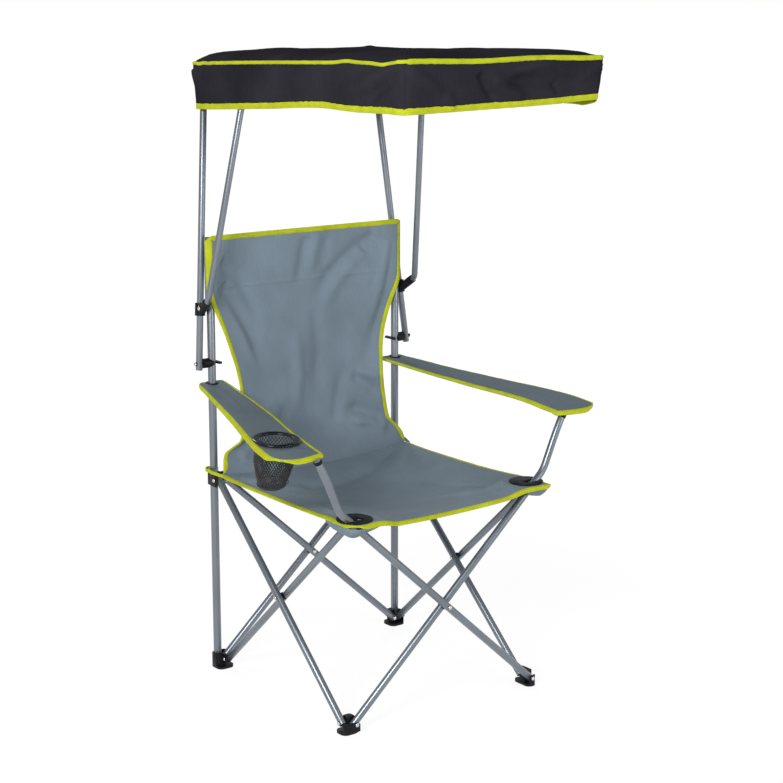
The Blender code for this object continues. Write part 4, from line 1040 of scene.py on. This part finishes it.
def arm_level(y):
    return ARM_REAR_Z - ARM_SLOPE * (SLOPE_Y - y)


def armrest_base(side):
    def surface(u, v):
        """u from the inner edge to the outer, 0 to 1, and v from the post to the front."""
        inner = curve_at((0, 0.05, 0.5, 0.8, 1), (0.2160, 0.2190, 0.2600, 0.2970, 0.3090), v)
        outer = curve_at((0, 0.05, 0.5, 0.73, 0.86, 1),
                         (0.283, 0.290, 0.362, 0.402, 0.421, 0.428), v)
        outer = outer + 0.016 * max(side, 0) * v**2
        rear_y = 0.3385
        front_y = curve_at((0, 0.25, 0.5, 0.75, 1), (-0.190, -0.199, -0.2040, -0.2035, -0.1985), u)
        y, wide = rear_y + (front_y - rear_y) * v, outer - inner
        drop = edge_roll((1 - u) * wide, 0.012, 0.0065) + edge_roll(u * wide, 0.012, 0.0030)
        drop = drop + edge_roll((1 - v) * ARM_LENGTH, 0.013, 0.0075)
        drop = drop + edge_roll(v * ARM_LENGTH, 0.010, 0.004)
        sag = -0.0035 * np.sin(np.pi * limited(v / 0.62)) * np.sin(np.pi * u)
        rise = 0.0020 - 0.0040 * hump(v, 0.97, 0.10) + np.maximum(drop, ROLL_MOST) + sag
        return lofted(side * (inner + wide * u), y, arm_level(y) + rise)
    return surface


ARM_CREASES = (
    (1.6, 7, 10, 50, 320, -170, 350, -150, 410, -150),
    (-1.4, 6, 10, 50, 318, -165, 340, -110, 360, -30),
    (1.5, 8, 10, 50, 256, 300, 275, 220, 300, 120),
    (-1.2, 7, 10, 50, 250, 300, 250, 230, 265, 150),
)


def armrest_folds(side, base):
    def folds(u, v):
        place = base(u, v)
        calm = limited((1 - v) * 14) * limited(v * 14) * limited(16 * u * (1 - u))
        small = 0.0007 * ripple(place, 0.06, 3 + side) + 0.0003 * ripple(place, 0.02, 8)
        return calm * (small + creases(side * place[..., 0], place[..., 1], ARM_CREASES))
    return folds


def sloping_ring(place, radius, wire, segments, share):
    """A ring that lies on a sloping armrest, its wire flattened to a share of its height."""
    ring = added(bpy.ops.mesh.primitive_torus_add, major_radius=radius, minor_radius=wire,
                 major_segments=segments[0], minor_segments=segments[1])
    scaled(ring, (1, 1, share))
    ring.location, ring.rotation_euler = place, (math.atan(ARM_SLOPE), 0, 0)
    return settled(ring)


for side, word in SIDES:
    base = armrest_base(side)
    surface = rounded(draped(base, armrest_folds(side, base)), ARM_SIZE, ARM_CORNERS)
    holes = [(np.array((side * POST_X, POST_Y)), POST_R + 0.0012)]
    if side < 0:
        holes.append((np.array((-CUP_X, CUP_Y)), RING_R - 0.0035))
    arm = cloth_piece(word + "_armrest_cloth", surface, (58, 170), (0.11, ARM_LENGTH), ARM_CLOTH,
                      holes, flip=side > 0)
    rim = edge_run(((0.5, 0), (1, 0), (1, 1), (0, 1), (0, 0), (0.5, 0)), ARM_SIZE,
                   (0, 0.026, 0.048, 0.006, 0.024, 0))
    tape = binding(word + "_arm_tape", surface, rim, ARM_TAPE, ARM_TAPE_HALF, 14, closed=True)
    fitted(arm, word + "_armrest", ARM_FABRIC)
    place = (side * POST_X, POST_Y, arm_level(POST_Y) + GROMMET_LIFT)
    grommet = sloping_ring(place, POST_R + GROMMET_OUT, GROMMET_WIRE, (36, 12), 1.25)
    fitted(grommet, word + "_armrest", BLACK_NYLON, False, word + "_grommet")
    fitted(tape, word + "_armrest", LIME_TAPE, replace=False)
    arm_post = "front_tube_from_" + ("left" if side < 0 else "right")
    for piece in (arm, tape):
        hooked(piece, BODY_OF[arm_post], limited((0.30 - places_of(piece)[:, 1]) / 0.48))
    # The black sleeve under the armrest's front takes the arm post's tip
    before, tip = tubes[arm_post][0][-2:]
    ends = [tip - (tip - before).normalized() * end for end in CAP_ENDS]
    cap = drawn_tube(word + "_tip_cap", ends, TUBE_R + CAP_WALL, hollow=False)
    fitted(cap, arm_post, BLACK_NYLON, replace=False)

# ------------------------------------------------------------------------------------------------
# Cup holder. A glossy moulded ring on the right armrest, with a tapering bag of black knotted net
# hung from it.

CUP_DEPTH, CUP_FLOOR_R, CUP_LIFT, RING_WIRE = 0.105, 0.028, 0.0070, 0.0040
MOUTH_R, MOUTH_Z, FLOOR_BOWL, FLOOR_SHARE = 0.0428, 0.004, 0.012, 0.74
STRANDS, STRAND_STEPS, RING_STEPS = 38, 34, 64
THREAD_R, SLOPE_TURN = 0.00085, math.atan(ARM_SLOPE)
GLOSS = coat("glossy_black_ring", (0.006, 0.006, 0.007), 0.20, (80, 3, 0.3),
             bump=(500, 0.05, 0.0003), Specular_IOR_Level=0.4)
BLACK_THREAD = coat("black_net_thread", (0.010, 0.010, 0.012), 0.75, (120, 3, 0.4),
                    bump=(2600, 0.3, 0.0003), Sheen_Weight=0.2)


def cup_point(turn, rise, radius):
    """A point of the cup, square to the sloping armrest."""
    local = Vector((radius * math.cos(turn), radius * math.sin(turn), rise))
    y = local.y * math.cos(SLOPE_TURN) - local.z * math.sin(SLOPE_TURN)
    z = local.y * math.sin(SLOPE_TURN) + local.z * math.cos(SLOPE_TURN)
    return Vector((-CUP_X + local.x, CUP_Y + y, arm_level(CUP_Y) + z))


ring = sloping_ring(cup_point(0, CUP_LIFT, 0), RING_R - 0.0025, RING_WIRE * 1.65, (96, 20), 0.50)
fitted(ring, "cup_ring", GLOSS, name="cup_ring_moulding")


def limpness(turn, rise, across, up):
    return noise.noise(Vector((across * math.cos(turn), across * math.sin(turn), up * rise)))


def net_strand(direction, index):
    """One thread that winds from the mouth down to the floor's middle."""
    route = []
    for step in range(STRAND_STEPS):
        t = step / (STRAND_STEPS - 1)
        rise = MOUTH_Z - (CUP_DEPTH - FLOOR_BOWL) * min(t / FLOOR_SHARE, 1)
        if t < FLOOR_SHARE:
            radius = MOUTH_R + (CUP_FLOOR_R - MOUTH_R) * (t / FLOOR_SHARE)**1.8
        else:
            bowl = (t - FLOOR_SHARE) / (1 - FLOOR_SHARE) * math.pi / 2
            radius = CUP_FLOOR_R * math.cos(bowl) ** 0.8 + 0.0015
            rise -= FLOOR_BOWL * math.sin(bowl)
        turn = 2 * math.pi * index / STRANDS + direction * 2.2 * t
        limp = math.sin(math.pi * min(t / 0.9, 1))
        lump = 0.16 * limpness(turn, rise, 1.3, 22) + 0.05 * limpness(turn, rise, 4, 60)
        radius = min(radius * (1 + limp * lump), 0.0430)
        point = cup_point(turn, CUP_LIFT - 0.004 + rise, radius)
        route.append(point + Vector((-0.010, 0.004, 0)) * t * t)
    return route


strands = [net_strand(direction, index) for direction in (-1, 1) for index in range(STRANDS)]
for radius, rise in ((0.0434, 0.0), (CUP_FLOOR_R + 0.0008, -(CUP_DEPTH - 0.016))):
    strands.append([cup_point(2 * math.pi * step / RING_STEPS, CUP_LIFT + rise, radius)
                    for step in range(RING_STEPS)])
net = settled(path_of(strands, rings=2, bevel_depth=THREAD_R, bevel_resolution=2), 80)
fitted(net, "cup_net", BLACK_THREAD, name="cup_net_bag")

# ------------------------------------------------------------------------------------------------
# Canopy. One black cloth over both rails: a slightly crowned top and a valance all round, sewn up
# at its four corners, with lime tape over the top seam and round the hem. The pull of the rails'
# front ends draws diagonal folds down from the front corners.

TOP_HALF_X, TOP_HALF_Y, TOP_CORNER, CANOPY_CLOTH, CROWN = 0.2555, 0.3815, 0.020, 0.0014, 0.013
# The least distance from the middle of what counts as the sides, the side seams and the front
FLANK, SIDE_SEAM, FRONT_FACE, TAPE_STEPS, TAPE_SLIM = 0.243, 0.24, 0.366, 640, (0.78, 1.08)
# A corner seam's profile, aside and out
SEAM_STEPS, SEAM_PROFILE = 30, (
    (-0.0016, 0.0004), (-0.0012, 0.0016), (0.0, 0.0021), (0.0012, 0.0016), (0.0016, 0.0004))
BLACK_CLOTH = woven("black_polyester", (0.0235, 0.0224, 0.0285), spread=0.22, sheen=0.0, gloss=0.0)
# Where the canopy's plan turns: straights and corner arcs in turn, from the rear left corner's end
RIM_X, RIM_Y, RIM_ARC = TOP_HALF_X - TOP_CORNER, TOP_HALF_Y - TOP_CORNER, math.pi * TOP_CORNER / 2
RIM_KNOTS = np.cumsum([0] + [2 * RIM_Y, RIM_ARC, 2 * RIM_X, RIM_ARC] * 2)


def rim_point(s):
    """The canopy's plan, round from the rear left corner by the left, front, right and rear."""
    far = np.asarray(s, float) % 1 * RIM_KNOTS[-1]
    turn = np.interp(far, RIM_KNOTS, -np.pi / 2 * np.array((0, 0, 1, 1, 2, 2, 3, 3, 4)))
    x = np.interp(far, RIM_KNOTS, RIM_X * np.array((1, 1, 1, -1, -1, -1, -1, 1, 1)))
    y = np.interp(far, RIM_KNOTS, RIM_Y * np.array((1, -1, -1, -1, -1, 1, 1, 1, 1)))
    return x + TOP_CORNER * np.cos(turn), y + TOP_CORNER * np.sin(turn)


def rim_level(y):
    return curve_at((-0.3815, -0.285, -0.05, 0.15, 0.3815),
                    (1.3885, 1.3850, 1.3780, 1.3715, 1.3620), y)


def rim_waves(x, y):
    """How the top seam waves a little between the rails' ends that carry it."""
    dips = -0.0040 * hump(y, -0.315, 0.030) + 0.0030 * hump(y, -0.20, 0.030)
    dips = (dips + 0.0012 * np.sin(y * 160) * hump(y, 0.36, 0.06)) * (np.abs(x) > SIDE_SEAM)
    return dips + 0.0015 * np.sin(x * 21) * (y < -0.36)


def valance_depth(x, y):
    side = curve_at((-0.3815, -0.34, -0.24, -0.10, 0.10, 0.349, 0.3815),
                    (0.0985, 0.0960, 0.0950, 0.0890, 0.0950, 0.0985, 0.0985), y)
    front = curve_at((-0.2555, -0.19, -0.04, 0.11, 0.20, 0.2555),
                     (0.0985, 0.0975, 0.0945, 0.0915, 0.0875, 0.0850), x)
    corner = limited((TOP_HALF_Y - np.abs(y)) / 0.05)
    near_left_front = hump(y, -0.36, 0.04) * (x > SIDE_SEAM) * 0.004
    return np.where(y < 0.05 - TOP_HALF_Y, front + (side - front) * corner, side) + near_left_front


def canopy_base(s, t):
    """t from 0, the middle of the top, to 1, its seam, and on down the valance to 2, the hem."""
    x, y = rim_point(s)
    share, drop = limited(t)**0.85, np.clip(t - 1, 0, 1.1)
    height = rim_level(y) + rim_waves(x, y) * (1 - drop / 1.2) ** 2
    ahead = (TOP_HALF_Y - y * share) / (2 * TOP_HALF_Y)
    middle_height = 1.362 + 0.0265 * ahead + CROWN + 0.011 * (1 - ahead)
    top = middle_height + (height - middle_height) * share ** (6 + 7 * (1 - ahead))
    tuck = 1 - 0.012 * drop
    left_front = hump(y, -0.35, 0.05) * (x > SIDE_SEAM) * 0.010 * drop**2
    return lofted(x * share * tuck - left_front, y * share * tuck, top - valance_depth(x, y) * drop)


SIDE_CREASES = (
    (10.8, 19.2, 3, 40, -365, 1380, -300, 1355, -200, 1325, -120, 1300),
    (-9.5, 14.4, 3, 40, -365, 1370, -310, 1340, -250, 1305),
    (5.4, 19.2, 30, 30, -50, 1365, 100, 1335, 220, 1315),
    (-4.8, 15.6, 30, 30, 50, 1350, 180, 1335, 330, 1300),
    (6, 12, 5, 40, 372, 1350, 355, 1320, 330, 1285),
)
FRONT_CREASES = (
    (-9.7, 7.7, 10, 30, -75, 1365, -50, 1330, -30, 1300),
    (10.9, 13.2, 10, 30, -55, 1352, -15, 1357, 75, 1378, 150, 1380),
    (9.7, 13.2, 10, 30, -50, 1350, 0, 1328, 50, 1312),
    (-9.7, 15.4, 20, 30, -20, 1350, 60, 1345, 140, 1340, 220, 1335),
    (-6.8, 7.7, 20, 20, 120, 1342, 135, 1315),
    (7.3, 11, 5, 50, -245, 1375, -200, 1350, -150, 1330),
    (6.3, 9.9, 20, 20, -155, 1325, -130, 1300),
    (5.8, 11, 5, 50, 245, 1375, 200, 1350, 170, 1330),
)
TOP_CREASES = (
    (-4.5, 50, 20, 20, -200, 20, 200, 50),
    (4, 60, 20, 20, -200, 220, 200, 220),
    (3.5, 50, 20, 20, -200, -140, 200, -120),
    (3, 12, 3, 40, -235, -360, -120, -220, -50, -120),
    (3, 12, 3, 40, 235, -360, 120, -220, 50, -120),
    (3, 12, 3, 40, -235, 360, -130, 250, -60, 160),
    (3, 12, 3, 40, 235, 360, 130, 250, 60, 160),
)


def canopy_folds(s, t):
    place = canopy_base(s, t)
    x, y, z = np.moveaxis(place, -1, 0)
    on_top, hang = limited((1 - t) * 8), limited((t - 1) * 6)
    small = 0.0012 * ripple(place, 0.08, 6) + 0.0004 * ripple(place, 0.025, 4)
    return (small * np.maximum(on_top, hang) + on_top * creases(x, y, TOP_CREASES)
            + (y < -FRONT_FACE) * hang * creases(x, z, FRONT_CREASES)
            + (np.abs(x) > FLANK) * hang * creases(y, z, SIDE_CREASES)
            + (y > FRONT_FACE) * hang * creases(-x, z, FRONT_CREASES))


canopy_surface = draped(canopy_base, canopy_folds)


def canopy_cloth():
    """Rings from the middle of the top out to the seam and down to the hem, closed all round."""
    around = 420
    rows = np.concatenate((np.linspace(0.06, 0.94, 26), (0.975, 1.0), np.linspace(1.04, 2.0, 24)))
    s, t = np.meshgrid(np.arange(around) / around, rows, indexing="ij")
    points = canopy_surface(s, t).reshape(-1, 3)
    hung = np.stack((s.ravel() * 2.48, t.ravel() * 0.095), axis=1)
    flats = np.where((t > 1).reshape(-1, 1), hung, points[:, :2])
    middle = points[::len(rows)].mean(axis=0)
    faces = grid_faces(around, len(rows), True).tolist()
    faces += [[len(points), i * len(rows), (i + 1) % around * len(rows)] for i in range(around)]
    points, flats = np.vstack((points, middle)), np.vstack((flats, middle[:2]))
    made = mesh_piece("canopy_cloth", points, faces, flats)
    modified(outward(made), "SOLIDIFY", thickness=CANOPY_CLOTH, offset=0)
    return settled(made, 60)


def canopy_band(name, at, upright, profile, slim=(1.0, 1.0)):
    """A closed band round the canopy at one share of its surface, upright from one share to
    another. Its profile is of offsets out and up, slimmer on the sides than in front."""
    s, steps = np.arange(TAPE_STEPS) / TAPE_STEPS, np.ones(TAPE_STEPS)
    line = canopy_surface(s, steps * at)
    ups = unit(canopy_surface(s, steps * upright[1]) - canopy_surface(s, steps * upright[0]))
    outs = unit(np.cross(ups, np.roll(line, -1, axis=0) - np.roll(line, 1, axis=0)))
    slim = np.where(np.abs(line[:, 0]) > 0.245, *slim)
    rings = []
    for index, (out, up) in enumerate(profile):
        uneven = 1 + 0.12 * ripple(line, 0.007, 20 + index)
        rings.append(line + outs * (out * uneven)[:, None] + ups * (up * uneven * slim)[:, None])
    return band(name, line, rings, profile, True)


top_band = canopy_band(
    "canopy_top_tape", 1.0, (1.06, 1.0),
    [(0.0023 * math.cos(turn) + 0.0006, 0.0047 * math.sin(turn) - 0.0015)
     for turn in np.linspace(0, 2 * math.pi, 12, endpoint=False)], TAPE_SLIM)
hem_band = canopy_band("canopy_hem_tape", 2.0, (2.0, 1.90),
                       TAPE_PROFILE[:, ::-1] * (0.0018, 0.0115))


def corner_seam(index, s):
    """The raised seam down a corner of the valance."""
    rows, s = np.linspace(1.05, 1.90, SEAM_STEPS), np.full(SEAM_STEPS, s)
    line = canopy_surface(s, rows)
    aside = unit(canopy_surface(s + 0.0012, rows) - canopy_surface(s - 0.0012, rows))
    out = facing(canopy_base, s, rows)
    out *= np.sign((out * line)[:, :2].sum(axis=1))[:, None]
    points = np.stack([line + aside * a + out * b for a, b in SEAM_PROFILE], axis=1).reshape(-1, 3)
    wide = len(SEAM_PROFILE)
    flats = [(0.002 * (k % wide), 0.003 * (k // wide)) for k in range(len(points))]
    made = mesh_piece(f"canopy_seam_{index}", points, grid_faces(SEAM_STEPS, wide).tolist(), flats)
    modified(made, "SOLIDIFY", thickness=0.0006, offset=-1)
    return settled(made, 60)


seams = [corner_seam(index, RIM_KNOTS[knot:knot + 2].mean() / RIM_KNOTS[-1])
         for index, knot in enumerate((1, 3, 5, 7))]
canopy = canopy_cloth()
for piece in [canopy, top_band, hem_band] + seams:
    finish = LIME_TAPE if piece in (top_band, hem_band) else BLACK_CLOTH
    fitted(piece, "canopy", finish, replace=piece is canopy)
    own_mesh(piece)

# ------------------------------------------------------------------------------------------------
# Studio. A plain pale floor that fades to white for the camera and keeps the chair's shadow, soft
# lamps above, and the camera where the photograph was taken.

FLOOR_TONE, FLOOR_SHARE, WORLD_LEVEL = 0.82, 0.80, 0.46
CAMERA_AT, CAMERA_TURN, CAMERA_TILT = (-2.3875, -3.1770, 1.5279), 36.960, 12.232
FOCUS_PIXELS, PHOTO_PIXELS, SENSOR = 1877.1, 783, 36

floor = added(bpy.ops.mesh.primitive_plane_add, size=40)
floor.name = "studio_floor"
paper, tree, shader = shader_of("studio_paper", (FLOOR_TONE,) * 3, 0.9, Specular_IOR_Level=0.1)
rays = add(tree, "LightPath").outputs
direct = calc(tree, "MAXIMUM", rays["Is Camera Ray"], rays["Is Glossy Ray"])
share = calc(tree, "MULTIPLY", direct, FLOOR_SHARE)
place = add(tree, "TexCoord").outputs["Object"]
far = add(tree, "VectorMath", {0: place}, operation="LENGTH").outputs["Value"]
glow = add(tree, "MapRange", {"Value": far, "From Min": 0.8, "From Max": 3.5,
                              "To Min": 1.08, "To Max": 1.19})
white = add(tree, "Emission", {"Color": (1, 1, 1, 1), "Strength": glow.outputs[0]})
mixed = add(tree, "MixShader", {0: share, 1: shader.outputs[0], 2: white.outputs[0]})
tree.links.new(mixed.outputs[0], tree.nodes["Material Output"].inputs["Surface"])
floor.data.materials.append(paper)

world = bpy.data.worlds.new("studio_world")
bpy.context.scene.world = world
world.use_nodes = True
tree = world.node_tree
background = tree.nodes["Background"]
seen = add(tree, "LightPath").outputs["Is Camera Ray"]
level = add(tree, "MapRange", {"Value": seen, "To Min": WORLD_LEVEL, "To Max": 1.0})
background.inputs["Color"].default_value = (1, 1, 1, 1)
tree.links.new(level.outputs[0], background.inputs["Strength"])

for name, place, aim, size, power in (
    ("key", (-3.2, -1.9, 2.2), (0, 0, 0.7), (1.3, 1.3), 120),
    ("fill", (1.6, -3.6, 1.6), (0, 0, 0.7), (2.0, 2.0), 45),
    ("rim", (0.6, 3.0, 2.6), (0, 0, 0.8), (2.0, 1.0), 35),
    ("strip", (-1.6, -3.9, 1.0), (0, 0, 0.8), (0.30, 2.4), 1.2),
):
    lamp = added(bpy.ops.object.light_add, type="AREA", location=place)
    lamp.name, lamp.data.shape, lamp.data.energy = name, "RECTANGLE", power
    lamp.data.size, lamp.data.size_y = size
    lamp.rotation_euler = (Vector(aim) - Vector(place)).to_track_quat("-Z", "Y").to_euler()

camera = added(bpy.ops.object.camera_add, location=CAMERA_AT)
camera.name = "photo_camera"
turn, tilt = math.radians(CAMERA_TURN), math.radians(CAMERA_TILT)
look = Vector((math.sin(turn) * math.cos(tilt), math.cos(turn) * math.cos(tilt), -math.sin(tilt)))
camera.rotation_euler = look.to_track_quat("-Z", "Y").to_euler()
camera.data.sensor_width = SENSOR
camera.data.lens = SENSOR * FOCUS_PIXELS / PHOTO_PIXELS
camera.data.clip_end = 60
bpy.context.scene.camera = camera
bpy.context.scene.view_settings.view_transform = "Standard"
